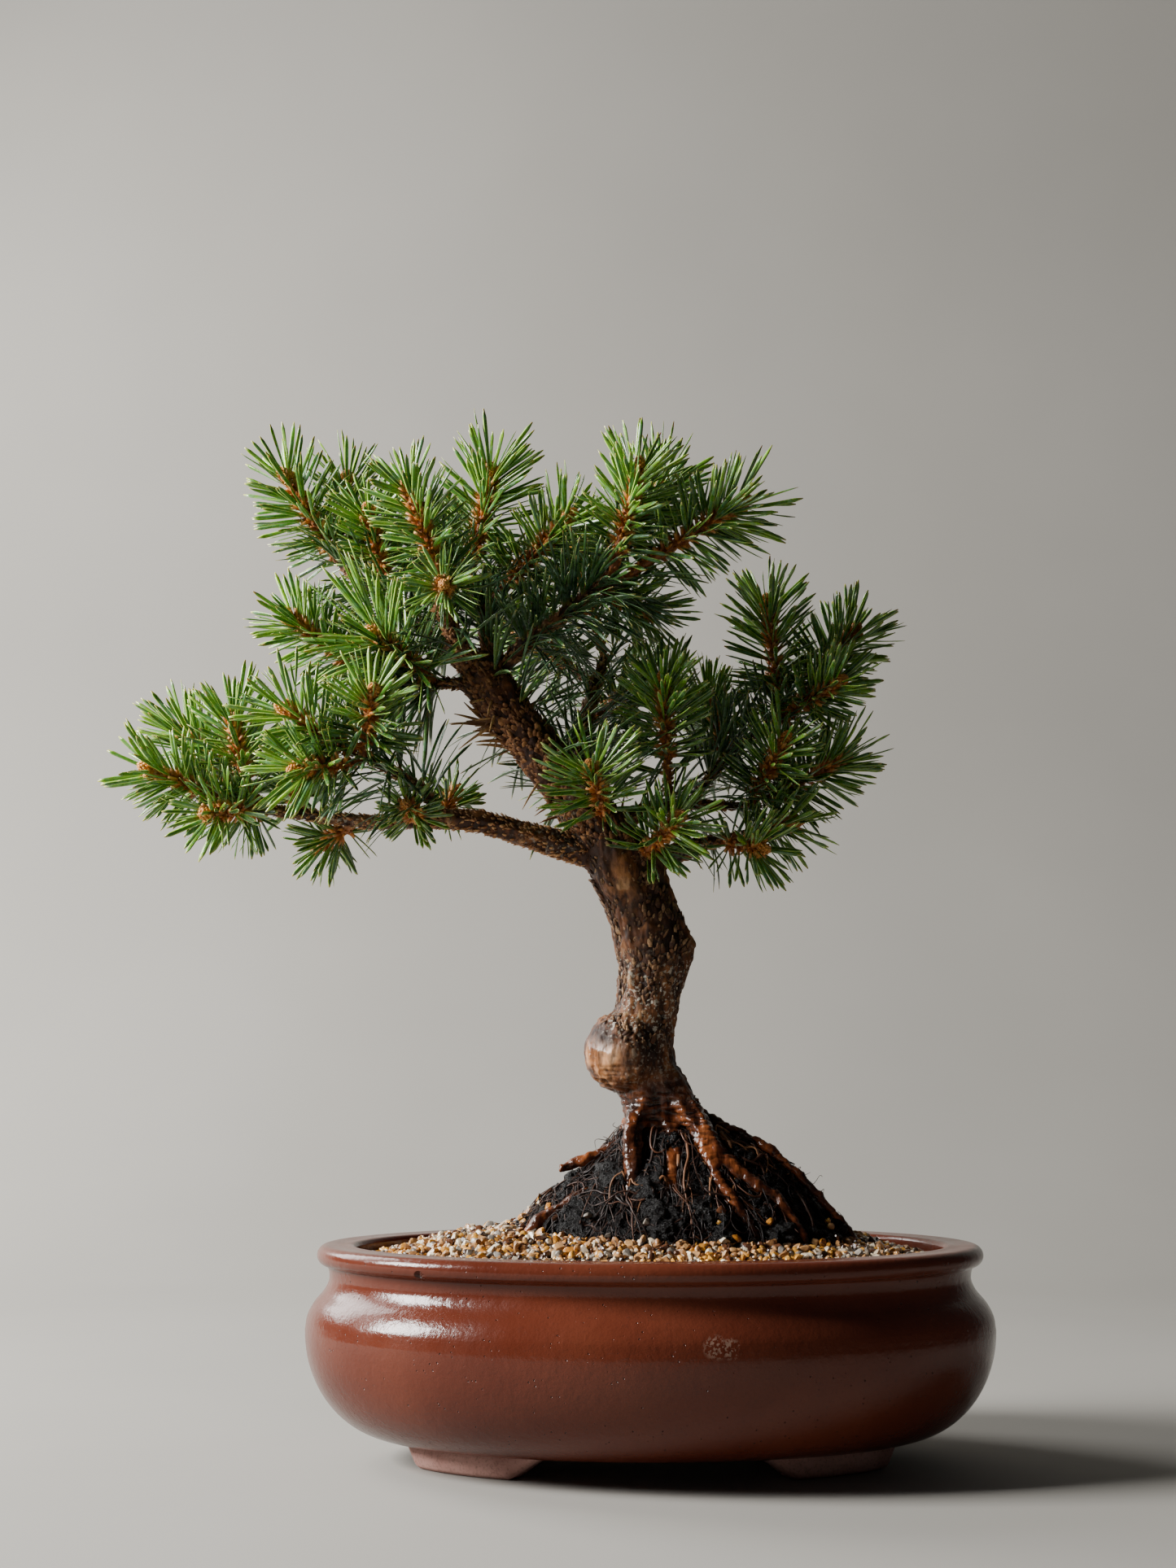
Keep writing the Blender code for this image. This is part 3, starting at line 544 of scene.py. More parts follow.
def lathe(name, profile):
    """Turn a profile of (radius, z) to the oval."""
    radius, z = np.asarray(profile, float).T[:, :, None]
    angles = np.arange(POT_ROUND) / POT_ROUND * 2 * math.pi
    x, y = oval_points(radius, angles[None, :])
    verts = np.stack([x, y, z * MM + 0 * x], axis=2).reshape(-1, 3)
    return mesh_of(name, verts, ring_quads(len(profile), POT_ROUND))


def pot_profile():
    """Half section of the pot: under the floor, up the belly, over the lip and down inside."""
    belly = POT_LENGTH / 2 / MM
    height = POT_HEIGHT / MM
    angles = np.radians(np.linspace(-88, 0, 26))
    lower = np.column_stack([FOOT_RING + (belly - FOOT_RING) * np.cos(angles),
                             BELLY_HEIGHT + (BELLY_HEIGHT - FLOOR_UNDER) * np.sin(angles)])
    shoulder = catmull([(belly, BELLY_HEIGHT), (belly - 0.8, 51.0), (belly - 3.2, 55.6), (belly - 6.6, 59.6),
                        (belly - 8.4, 63.2), (belly - 8.5, 66.0), (belly - 7.9, 68.4)], 5)[1:]
    lip_angles = np.radians(np.linspace(-84, 90, 16))
    lip = np.column_stack([belly - 7.5 + 3.5 * np.cos(lip_angles), height - 3.6 + 3.6 * np.sin(lip_angles)])
    rim = catmull([(belly - 8.5, height), (belly - 13.0, height - 0.2), (belly - 16.3, height - 0.1),
                   (belly - 17.8, height - 0.9), (belly - 18.2, height - 2.6), (belly - 17.2, height - 9.0),
                   (belly - 11.0, 58.0), (belly - 8.6, BELLY_HEIGHT), (belly - 14.0, 30.0), (86.0, 16.4)], 5)
    floor = [(radius, FLOOR_OVER) for radius in (60.0, 30.0, 0.01)]
    base = [(radius, FLOOR_UNDER) for radius in (0.01, 40.0, 80.0, FOOT_RING - 1.0)]
    return np.vstack([base, lower, shoulder, lip, rim, floor])


def foot_height(angle):
    """Height of the ring's lower edge: down to the table at four feet, up between them."""
    front = smoothstep(32.0, 51.0, np.abs(FOOT_RING * np.cos(angle)))
    end = smoothstep(12.0, 23.0, np.abs((FOOT_RING - FOOT_SPREAD) * np.sin(angle)))
    curl = 1.0 - (1.0 - np.minimum(front, end)) ** 0.6
    return FOOT_TOP * (1.0 - curl)


def feet_mesh():
    """Four feet left standing from one ring, with rounded edges and a cloud-shaped outline."""
    angles = np.arange(POT_ROUND * 2) / (POT_ROUND * 2) * 2 * math.pi
    low = foot_height(angles)
    top = np.full_like(low, FOOT_TOP)
    flank = np.minimum(low + 5.0, FOOT_TOP)
    edge = np.minimum(low + 1.3, FOOT_TOP)
    section = [(FOOT_INNER + 2.0, top), (FOOT_INNER + 0.3, flank), (FOOT_INNER, edge), (FOOT_INNER + 1.2, low),
               (FOOT_RING - 2.2, low), (FOOT_RING - 0.7, edge), (FOOT_RING + 0.4, flank), (FOOT_RING - 1.0, top)]
    verts = np.vstack([np.column_stack([*oval_points(radius, angles), z * MM]) for radius, z in section])
    count = len(angles)
    quads = ring_quads(len(section) + 1, count)[:, [0, 3, 2, 1]] % len(verts)
    return mesh_of("pot_feet", verts, quads)


def make_pot():
    """The glazed body, and the bare feet under it."""
    add_piece("pot_body", lathe("pot_body", pot_profile()), glaze_material(), "glaze", "pot")
    add_piece("pot_feet", feet_mesh(), bare_clay_material(), "glaze")


# ------------------------------------------------------------- soil and stones
GRIT_KINDS = {               # dark and light colour, roughness and share of the stones
    "grit_tan": ((0.30, 0.135, 0.050), (0.56, 0.31, 0.125), 0.24, 0.31),
    "grit_ochre": ((0.42, 0.16, 0.022), (0.78, 0.40, 0.070), 0.20, 0.26),
    "grit_cream": ((0.68, 0.53, 0.36), (0.93, 0.82, 0.62), 0.22, 0.17),
    "grit_grey": ((0.15, 0.13, 0.11), (0.36, 0.32, 0.27), 0.26, 0.10),
    "grit_dark": ((0.035, 0.014, 0.008), (0.16, 0.060, 0.026), 0.18, 0.17),
}
GRIT_SIZE = (1.15, 2.9)      # half widths of the stones, mm
GRIT_COUNT = 4600
GRIT_CELL = 2.0              # one stone in each square this wide, mm
GRIT_CELLS = 9000            # squares tried before the mound counts as full
GRIT_RIM = 1.6               # kept free along the pot's wall, mm
GRIT_FORMS = 24


def ground_height(tree, x, y):
    """Height of a surface below a place over the pot, or None beside it."""
    hit = tree.ray_cast(Vector((x, y, 200 * MM)), Vector((0, 0, -1)))
    return hit[0].z if hit[0] else None


def stone_shapes(random):
    """A few lumpy pebbles, each a quad sphere of radius 1 with flats ground on it."""
    bm = bmesh.new()
    bmesh.ops.create_cube(bm, size=1.2)
    bmesh.ops.subdivide_edges(bm, edges=bm.edges, cuts=2, use_grid_fill=True)
    sphere = np.array([vert.co.normalized()[:] for vert in bm.verts])
    bm.verts.ensure_lookup_table()
    quads = np.array([[vert.index for vert in face.verts] for face in bm.faces])
    bm.free()
    shapes = []
    for _ in range(GRIT_FORMS):
        size = random.uniform([0.80, 0.60, 0.45], [1.20, 0.95, 0.75])
        body = sphere.copy()
        for _ in range(7):
            facing = unit(random.normal(size=3))
            reach = random.uniform(0.45, 0.80)
            over = np.maximum(body @ facing - reach, 0.0)
            body -= np.outer(over, facing)
        offset = random.uniform(-50, 50, 3)
        bumps = np.array([noise.noise(Vector(point * 2.2 + offset)) for point in body])
        body *= (1.0 + 0.07 * bumps)[:, None]
        shapes.append(body * size)
    return shapes, quads


def random_rotations(random, count):
    """Rotation matrices from random unit quaternions."""
    w, x, y, z = unit(random.normal(size=(count, 4))).T
    rows = [[1 - 2 * (y * y + z * z), 2 * (x * y - z * w), 2 * (x * z + y * w)],
            [2 * (x * y + z * w), 1 - 2 * (x * x + z * z), 2 * (y * z - x * w)],
            [2 * (x * z - y * w), 2 * (y * z + x * w), 1 - 2 * (x * x + y * y)]]
    return np.array(rows).transpose(2, 0, 1)


def grit_places(random, gravel, peat):
    """Even random spots on the gravel mound, clear of the pot's wall, some on the peat's skirt."""
    low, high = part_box("gravel")
    middle = (low + high) / 2
    half = (high - low) / 2
    half -= Vector((GRIT_RIM, GRIT_RIM, 0.0)) * MM
    spots = []
    taken = {}
    while len(spots) < GRIT_COUNT and len(taken) <= GRIT_CELLS:
        x, y = random.uniform([-half.x, -half.y], [half.x, half.y])
        lift = random.uniform(0.0, 1.0)
        if (x / half.x) ** 2 + (y / half.y) ** 2 > 1.0:
            continue
        key = (round(x / (GRIT_CELL * MM)), round(y / (GRIT_CELL * MM)))
        if taken.get(key, 0) >= 1 and random.random() > 0.03:
            continue
        x += middle.x
        y += middle.y
        z = ground_height(gravel, x, y)
        on_peat = ground_height(peat, x, y)
        if on_peat is not None and (z is None or on_peat > z):
            if random.random() > 0.02 or on_peat > high.z + 10 * MM:
                taken[key] = taken.get(key, 0) + (1 if random.random() < 0.2 else 0)
                continue
            z = on_peat + 0.4 * MM
        if z is None:
            continue
        taken[key] = taken.get(key, 0) + 1
        spots.append((x, y, z + (lift - 0.35) * 1.6 * MM))
    return np.array(spots)


def make_grit():
    """The loose stones, one mesh for each kind."""
    random = np.random.default_rng(21)
    shapes, quads = stone_shapes(random)
    spots = grit_places(random, surface_of(["gravel"]), surface_of(["peat"]))
    kinds = list(GRIT_KINDS)
    shares = np.array([GRIT_KINDS[kind][3] for kind in kinds])
    chosen = random.choice(len(kinds), size=len(spots), p=shares / shares.sum())
    sizes = (GRIT_SIZE[0] + (GRIT_SIZE[1] - GRIT_SIZE[0]) * random.random(len(spots)) ** 1.4) * MM
    turns = random_rotations(random, len(spots))
    forms = random.integers(0, len(shapes), len(spots))
    shades = random.random(len(spots))
    for number, kind in enumerate(kinds):
        mine = np.flatnonzero(chosen == number)
        verts = [shapes[forms[index]] @ turns[index].T * sizes[index] + spots[index] for index in mine]
        size = len(verts[0])
        mesh = mesh_of(kind, np.vstack(verts), copies(quads, size, len(mine)))
        mesh.set_sharp_from_angle(angle=math.radians(34.0))
        paint_strands(mesh, np.zeros(1), shades[mine], np.zeros(size))
        dark, light, rough, _ = GRIT_KINDS[kind]
        add_piece(kind, mesh, stone_material(kind, dark, light, rough), "grit")


def lumpy(mesh, amount, scale, seed):
    """Push a skin in and out by fractal noise."""
    verts = points_of(mesh)
    shift = Vector((seed, -seed, seed / 2))
    height = np.array([noise.fractal(Vector(point) * scale + shift, 1.0, 2.1, 3) for point in verts])
    move_points(mesh, verts + normals_of(mesh) * (height * amount * MM)[:, None])
    return mesh


def make_ground():
    """The bed under the stones and the black peat round the roots."""
    bed = lumpy(remeshed(["gravel"], 1.6 * MM), 0.5, 300.0, 4.0)
    # The bed shows only in the gaps between the loose stones; its near-black brown is painted shade there.
    bed_finish = plain_material("shaded_grit_bed", (0.012, 0.007, 0.005), (0.06, 0.034, 0.02), 0.7, 500.0)
    add_piece("gravel_bed", bed, bed_finish, "grit", "gravel")
    clump = lumpy(lumpy(remeshed(["peat"], 0.9 * MM), 3.4, 90.0, 9.0), 1.3, 400.0, 31.0)
    clump.shade_smooth()
    add_piece("peat_clump", clump, peat_material(), "peat", "peat")


# ----------------------------------------------------------------------- wood
BRANCHES = [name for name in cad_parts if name.startswith(("branch_", "twig_"))]


def terraced(height, steps):
    """Turn a smooth height into plates with quick edges, as flaking bark has."""
    level = height * steps
    return (np.floor(level) + smoothstep(0.62, 1.0, level - np.floor(level))) / steps


BURL_SPAN = (122.0, 176.0)   # heights between which the burl swells, mm
BURL_FADE = 8.0
BURL_FACE = np.array([POT_MIDDLE.x - 16 * MM, POT_MIDDLE.y - 7 * MM, 144 * MM])
WOOD_VOXEL = 0.72            # mm
SMOOTHING_ROUNDS = 17
FILLING_ROUNDS = 850
FRACTALS = (                 # scale across and up, roughness, spacing and number of octaves
    (130.0, 70.0, 0.9, 2.1, 3), (60.0, 420.0, 1.0, 2.0, 2), (190.0, 60.0, 1.0, 2.0, 3),
)
NOISES = ((330.0, 120.0), (700.0, 520.0))    # scale across and up
FLAKY_FROM = (127.0, 146.0)  # heights between which the bark turns flaky, mm
# Heights over which painted shade from the crown comes on over the trunk's plates, mm.
FORK_SHADE_FROM = (202.0, 222.0)
LICHEN_BAND = (148.0, 158.0, 172.0, 190.0)


def band(low, rise, fall, high, value):
    """0 below low, 1 from rise to fall and 0 again above high."""
    return smoothstep(low, rise, value) * (1.0 - smoothstep(fall, high, value))


def creases_filled(verts, edges, normals):
    """Grow wood into the hollows round the burl, so that it swells smoothly from the trunk."""
    low, high = BURL_SPAN
    share = band(low, low + BURL_FADE, high - BURL_FADE, high, verts[:, 2] / MM)
    inside = np.flatnonzero(share > 0.0)
    place = np.full(len(verts), -1)
    place[inside] = np.arange(len(inside))
    local = place[edges[(place[edges] >= 0).all(axis=1)]]
    spots = verts[inside]
    outward = normals[inside]
    weight = share[inside]
    count = np.maximum(np.bincount(local.ravel(), minlength=len(spots)), 1).astype(float)[:, None]
    for _ in range(FILLING_ROUNDS):
        total = np.zeros_like(spots)
        for axis in range(3):
            total[:, axis] = (np.bincount(local[:, 0], spots[local[:, 1], axis], len(spots))
                              + np.bincount(local[:, 1], spots[local[:, 0], axis], len(spots)))
        move = total / count - spots
        rise = np.maximum((move * outward).sum(axis=1), 0.0) * weight
        spots = spots + outward * rise[:, None] * 0.9
    filled = verts.copy()
    filled[inside] = spots
    return filled


def make_wood():
    """Trunk, roots and branches as one grown skin, its bark raised where it is flaky."""
    mesh = remeshed(["trunk", *BRANCHES], WOOD_VOXEL * MM)
    edges = edges_of(mesh)
    verts = smoothed(points_of(mesh), edges, SMOOTHING_ROUNDS)
    move_points(mesh, verts)
    verts = creases_filled(verts, edges, normals_of(mesh))
    move_points(mesh, verts)
    trunk = surface_of(["trunk"])
    fields = np.empty((len(verts), 8))
    for row, (x, y, z) in zip(fields, verts):
        point = Vector((x, y, z))
        row[0] = trunk.find_nearest(point)[3] or 0.0
        row[1] = noise.noise(point * 55.0)
        row[2] = noise.noise(Vector((x * 38.0 + 7.0, y * 38.0, z * 38.0)))
        row[3:6] = [noise.fractal(Vector((x * wide, y * wide, z * tall)), *rest) for wide, tall, *rest in FRACTALS]
        row[6:8] = [noise.noise(Vector((x * wide, y * wide, z * tall))) for wide, tall in NOISES]
    near, wobble, patches, plates, wrinkles, folds, shreds, grain = fields.T
    height = verts[:, 2] / MM
    thick = 1.0 - smoothstep(1.0 * MM, 3.0 * MM, near)
    burl = 1.0 - smoothstep(8.0, 17.0, np.linalg.norm(verts - BURL_FACE, axis=1) / MM + wobble * 4.0)
    flaky = smoothstep(*FLAKY_FROM, height + wobble * 16.0 - burl * 16.0)
    # Painted shade: the plates on the trunk above the fork are darkened as under the crown.
    painted_fork_shade = smoothstep(*FORK_SHADE_FROM, height) * thick
    plate = terraced(np.clip(0.5 + 0.75 * plates, 0.0, 1.0), 4)
    shred = np.abs(shreds)
    rough_bark = ((plate - 0.45) * 2.3 + (shred - 0.2) * 1.1 + grain * 0.34) * (1.0 - 0.55 * burl)
    neck = (0.45 + 0.55 * smoothstep(108.0, 122.0, height)) * (1.0 - smoothstep(138.0, 150.0, height))
    ring = np.clip(1.0 - np.abs(wrinkles) * 3.4, 0.0, 1.0) * neck * thick
    smooth_wood = folds * 0.95 - ring * 0.85 * (1.0 - 0.6 * burl) + grain * 0.20 + burl * shreds * 0.5
    lift = flaky * rough_bark * (0.30 + 0.55 * thick) + (1.0 - flaky) * smooth_wood + 0.1
    move_points(mesh, verts + normals_of(mesh) * (lift * MM)[:, None])
    mesh.shade_smooth()
    # Grooves between the plates, darkened in the bark material as painted shade.
    groove_shade = flaky * (1.0 - smoothstep(0.0, 0.12, shred)) * smoothstep(0.15, 0.45, 1.0 - plate)
    crack = burl * smoothstep(0.1, 0.4, -shreds) * 0.6
    # Dents of the rings, low folds and burl cracks, darkened in the bark material as painted shade.
    wrinkle_shade = np.clip(ring * (1.0 - 0.7 * burl) + smoothstep(0.2, 0.7, -folds) + crack, 0.0, 1.0)
    lichened = (smoothstep(0.05, 0.35, patches) * 0.45
                + band(*LICHEN_BAND, height) * smoothstep(-0.25, 0.2, patches) * 0.5)
    paint(mesh, "skin", flaky, groove_shade, burl)
    paint(mesh, "relief", plate * (1.0 - 0.45 * painted_fork_shade), lichened, wrinkle_shade)
    add_piece("wood", mesh, wood_material(), "bark", "trunk", *BRANCHES)


def surface_points(names, random, count, keep=None):
    """Random points and outward normals on the named CAD nodes, spread evenly by area."""
    corners = []
    for name in names:
        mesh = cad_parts[name].data
        mesh.calc_loop_triangles()
        corners.append(points_of(mesh)[read(mesh.loop_triangles, "vertices", 3, np.int32)])
    a, b, c = np.vstack(corners).transpose(1, 0, 2)
    across = np.cross(b - a, c - a)
    area = np.linalg.norm(across, axis=1)
    chosen = random.choice(len(area), size=count, p=area / area.sum())
    u, v = random.random((2, count))
    over = u + v > 1.0
    u[over] = 1.0 - u[over]
    v[over] = 1.0 - v[over]
    points = a[chosen] + (b - a)[chosen] * u[:, None] + (c - a)[chosen] * v[:, None]
    normals = across[chosen] / area[chosen][:, None]
    if keep is None:
        return points, normals
    wanted = keep(points)
    return points[wanted], normals[wanted]


def above(height):
    """A test for surface_points that keeps the points above a height in mm."""
    return lambda spots: spots[:, 2] > height * MM


def growth(name):
    """Direction in which a branch node grows away from the trunk, its middle, and its two ends from there."""
    verts = points_of(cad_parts[name].data)
    middle = verts.mean(axis=0)
    axis = np.linalg.svd(verts - middle)[2][0]
    places = (verts - middle) @ axis
    ends = []
    for side in (places < places.min() + 8 * MM, places > places.max() - 8 * MM):
        rim = verts[side] - verts[side].mean(axis=0)
        ends.append(np.linalg.norm(rim - np.outer(rim @ axis, axis), axis=1).mean())
    if ends[1] > ends[0]:
        axis = -axis
        places = -places
    return axis, middle, places.min(), places.max()


def flake_mesh(name, foot, along, normal, length, width, thick, lift, shade):
    """Little closed scales that lie along a surface and stand off it at their tips."""
    along = square_to(normal, along)
    side = np.cross(along, normal)
    corners = [(-1.0, -0.5), (-0.55, 0.5), (0.55, 0.5), (1.0, -0.5)]
    rows = [(0.0, 0.75, -0.6, 1.0), (0.5, 1.0, 0.25, 1.0), (1.0, 0.35, 1.0, 0.5)]
    rings = []
    for far, wide, high, deep in rows:
        centre = foot + along * (length * far)[:, None] + normal * (lift * high)[:, None]
        for a, b in corners:
            rings.append(centre + side * (width * wide * a)[:, None] + normal * (thick * deep * b)[:, None])
    verts = np.stack(rings, axis=1).reshape(-1, 3)
    local = np.vstack([[[3, 2, 1, 0], [8, 9, 10, 11]], ring_quads(len(rows), len(corners))])
    mesh = mesh_of(name, verts, copies(local, len(rings), len(foot)))
    paint_strands(mesh, np.array([0.0, 0.5, 1.0]), shade, np.zeros(len(corners)))
    return mesh


SCALES = {                   # stray from their direction; length, width, thickness and lift, mm; how few are light
    "twig_scales": (0.25, ((1.3, 2.6), (0.45, 0.85), (0.35, 0.6), (0.3, 1.0)), 1.0),
    "leader_scales": (0.45, ((1.6, 3.6), (0.9, 1.7), (0.4, 0.8), (0.3, 1.1)), 1.1),
    "bark_plates": (0.35, ((1.2, 3.8), (0.5, 1.3), (0.3, 0.5), (0.15, 0.70)), 1.2),
}
TWIG_SCALE_AREA = 2.6        # mm2 of twig for each scale
LEADER_FROM = 222.0          # mm
LEADER_HEADING = (-0.72, -0.05, 0.69)
LEADER_SCALES = 7500         # before those below the leader are dropped
STALK_SCALES = 420
PLATES_SPAN = (146.0, 230.0)
PLATES = 5600
BURL_BARE = 13.0             # mm round the burl's face with no plates


def add_scales(name, random, foot, normal, along, colours, slot):
    """One layer of scales at the given points, in its dark, middle and light colours."""
    stray, spans, fade = SCALES[name]
    count = len(foot)
    along = along + random.normal(size=(count, 3)) * stray
    sizes = [random.uniform(*span, count) * MM for span in spans]
    mesh = flake_mesh(name, foot, along, normal, *sizes, random.random(count) ** fade)
    add_piece(name, mesh, scale_material(name, *colours), slot)


def make_scales():
    """Leaf-base scales on the young wood, shaggy ones up the leader and thin plates on the trunk."""
    random = np.random.default_rng(33)
    foot, normal, along = [], [], []
    for name in BRANCHES:
        area = sum(face.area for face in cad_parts[name].data.polygons) / MM ** 2
        points, normals = surface_points([name], random, int(area / TWIG_SCALE_AREA))
        foot.append(points)
        normal.append(normals)
        along.append(np.tile(growth(name)[0], (len(points), 1)))
    add_scales("twig_scales", random, np.vstack(foot), np.vstack(normal), np.vstack(along),
               ((0.065, 0.022, 0.008), (0.40, 0.16, 0.052), (0.76, 0.44, 0.20)), "twig_bark")

    points, normals = surface_points(["trunk"], random, LEADER_SCALES, above(LEADER_FROM))
    stalk, stalk_normals = surface_points(["twig_crown_front"], random, STALK_SCALES)
    add_scales("leader_scales", random, np.vstack([points, stalk]), np.vstack([normals, stalk_normals]),
               np.array(LEADER_HEADING),
               ((0.040, 0.013, 0.006), (0.19, 0.062, 0.018), (0.52, 0.24, 0.085)), "bark")

    def on_old_bark(spots):
        height = spots[:, 2] / MM
        off_burl = np.linalg.norm(spots - BURL_FACE, axis=1) > BURL_BARE * MM
        return (height > PLATES_SPAN[0]) & (height < PLATES_SPAN[1]) & off_burl

    points, normals = surface_points(["trunk"], random, PLATES, on_old_bark)
    add_scales("bark_plates", random, points, normals, np.array([0.0, 0.0, 1.0]),
               ((0.026, 0.010, 0.005), (0.17, 0.064, 0.022), (0.54, 0.32, 0.16)), "bark")


# ---------------------------------------------------------------------- roots
ROOT_STEP = 1.5              # mm
SIDE_ROOTS = 120
SIDE_ROOT_SIZES = (0.25, 0.42, 0.65, 0.90)    # radii, mm
SIDE_ROOT_FORKS = 3
LYING_HAIRS = 760
STANDING_HAIRS = 420


def walk_down(tree, random, start, aim, length, turning, lift):
    """A root's path that meanders over the ground from a start point, now touching it and now clear of it."""
    step = ROOT_STEP * MM
    x, y = start
    heading = aim
    swing = 0.0
    phase = random.uniform(0.0, 6.0)
    points = []
    for number in range(int(length / step)):
        z = ground_height(tree, x, y)
        if z is None:
            break
        points.append((x, y, z + lift * (1.0 + math.sin(number * 0.45 + phase))))
        swing = 0.82 * swing + random.normal() * turning
        heading += swing * 0.3 - 0.05 * (heading - aim)
        x += step * math.cos(heading)
        y += step * math.sin(heading)
    return np.array(points)


def side_roots(random, tree, foot_x):
    """Forking roots that run out from the trunk's foot over the peat."""
    tubes = Tubes(6)
    for _ in range(SIDE_ROOTS):
        aim = random.uniform(0, 2 * math.pi)
        far = random.uniform(8, 34) * MM
        start = (foot_x + far * math.cos(aim) * 1.3, far * math.sin(aim))
        size = random.choice(SIDE_ROOT_SIZES, p=[0.24, 0.30, 0.28, 0.18]) * MM
        if math.cos(aim) < 0.1:
            size = min(size, SIDE_ROOT_SIZES[1] * MM)
        branches = [(start, aim + random.normal() * 0.75, random.uniform(20, 58) * MM, size)]
        tone = random.uniform(0.35, 1.0) if size > 0.6 * MM else random.random() * 0.7
        for depth in range(SIDE_ROOT_FORKS):
            start, aim, length, size = branches[depth]
            path = walk_down(tree, random, start, aim, length, 0.60, size * 0.5 + random.uniform(0.2, 1.3) * MM)
            if len(path) < 6:
                break
            path[-1, 2] -= 2.5 * MM
            curve = catmull(path, 2)
            radii = size * np.linspace(1.0, 0.40, len(curve)) * (1 + 0.12 * np.sin(np.arange(len(curve)) * 1.1))
            tubes.add(curve, radii, tone)
            fork = path[random.integers(2, len(path) - 2)]
            branches.append(((fork[0], fork[1]), aim + random.choice([-1, 1]) * random.uniform(0.4, 1.0),
                             length * 0.6, size * 0.6))
    return tubes.mesh("side_roots")


def hair_roots(random, tree, foot_x):
    """Curly hairs lying on the peat, and shorter ones that stand out of it."""
    hairs = Tubes(4)
    for _ in range(LYING_HAIRS):
        heading = random.uniform(0, 2 * math.pi)
        far = random.uniform(6, 52) * MM
        start = (foot_x + 4 * MM + far * math.cos(heading) * 1.2, far * math.sin(heading) * 0.85)
        path = walk_down(tree, random, start, random.uniform(0, 2 * math.pi), random.uniform(7, 20) * MM, 0.95,
                         random.uniform(0.4, 1.7) * MM)
        if len(path) < 4:
            continue
        hairs.add(path, np.full(len(path), random.uniform(0.09, 0.19) * MM), random.random() * 0.55)
    t = np.linspace(0.0, 1.0, 9)[:, None]
    for point, normal in zip(*surface_points(["peat"], random, STANDING_HAIRS)):
        length = random.uniform(2.5, 6.5) * MM
        sway = random.normal(size=(3, 3)) * 0.7
        path = point + (normal * 0.6 + sway[0] * 0.5) * length * t + sway[1] * length * np.sin(t * 3.0) * 0.35
        path += sway[2] * length * np.sin(t * 6.5) * 0.12 + np.array([0.0, 0.0, -0.5]) * length * t ** 2
        hairs.add(path, np.linspace(0.15, 0.08, len(t)) * MM, random.random() * 0.6)
    return hairs.mesh("hair_roots")


def make_fine_roots():
    """Roots too thin for the CAD model, running out over the peat into the grit."""
    random = np.random.default_rng(5)
    tree = surface_of(["peat", "gravel"])
    finish = root_fibre_material()
    foot_x = POT_MIDDLE.x + 6 * MM
    add_piece("side_roots", side_roots(random, tree, foot_x), finish, "bark")
    add_piece("hair_roots", hair_roots(random, tree, foot_x), finish, "bark")


# --------------------------------------------------------------------- shoots
PAIRS_PER_MM = 2.2           # needle pairs for each millimetre of leafy stem
LEAFY_LENGTH = 36.0          # the most of a stem that bears needles, mm
NEEDLE_WIDTH = 0.80          # half width at the middle, mm
OLD_NEEDLE_WIDTH = 0.68
NEEDLE_ROWS = 8
NEEDLE_SECTION = ((-1.0, 0.0), (-0.45, 0.42), (0.45, 0.42), (1.0, 0.0), (0.35, -0.10), (-0.35, -0.10))
BUD_SCALES = 38
STEM_RINGS = 14


class Guide:
    """Axis and needle length of a shoot, read from its CAD solid."""

    def __init__(self, mesh):
        verts = points_of(mesh)
        keys = np.round(verts / (0.01 * MM)).astype(int)
        _, first, same = np.unique(keys, axis=0, return_index=True, return_inverse=True)
        verts = verts[first]
        same = same.ravel()
        edges = same[edges_of(mesh)]
        edges = np.unique(np.sort(edges[edges[:, 0] != edges[:, 1]], axis=1), axis=0)
        lengths = np.linalg.norm(verts[edges[:, 0]] - verts[edges[:, 1]], axis=1)
        shortest = np.full(len(verts), 1.0)
        np.minimum.at(shortest, edges[:, 0], lengths)
        np.minimum.at(shortest, edges[:, 1], lengths)
        tips = verts[shortest > 8 * MM]
        core = verts[shortest < 5 * MM]
        middle = core.mean(axis=0)
        axis = np.linalg.svd(core - middle)[2][0]
        if (tips.mean(axis=0) - middle) @ axis < 0:
            axis = -axis
        places = (core - middle) @ axis
        self.axis = axis
        self.base = middle + axis * places.min()
        self.length = places.max() - places.min()
        self.needle = float(np.median(shortest[shortest > 8 * MM]))


def needle_mesh(name, base, heading, flat, length, width, bend, twist, shade):
    """Every needle of a shoot: a narrow blade, flat inside and ridged outside, with a blunt tip."""
    t = np.linspace(0.0, 1.0, NEEDLE_ROWS)[None, :]
    side = np.cross(heading, flat)
    reach = length[:, None] * t
    spine = base[:, None, :] + heading[:, None, :] * reach[:, :, None]
    spine += flat[:, None, :] * (bend[:, None] * length[:, None] * t ** 2)[:, :, None]
    turn = (twist[:, None] * t)[:, :, None]
    across = side[:, None, :] * np.cos(turn) + flat[:, None, :] * np.sin(turn)
    outward = flat[:, None, :] * np.cos(turn) - side[:, None, :] * np.sin(turn)
    profile = np.interp(t[0], [0.0, 0.08, 0.3, 0.85, 0.95, 1.0], [0.60, 0.85, 1.0, 0.96, 0.80, 0.28])
    half = (width[:, None] * profile[None, :])[:, :, None]
    verts = np.stack([spine + across * half * a + outward * half * b for a, b in NEEDLE_SECTION], axis=2)
    sides = len(NEEDLE_SECTION)
    size = NEEDLE_ROWS * sides
    tip = size - sides
    caps = [[3, 2, 1, 0], [5, 4, 3, 0], [tip, tip + 1, tip + 2, tip + 3], [tip, tip + 3, tip + 4, tip + 5]]
    local = np.vstack([ring_quads(NEEDLE_ROWS, sides), caps])
    mesh = mesh_of(name, verts.reshape(-1, 3), copies(local, size, len(base)))
    paint_strands(mesh, t[0], shade, np.array([1.0, 0.0, 0.0, 1.0, 0.0, 0.0]))
    return mesh


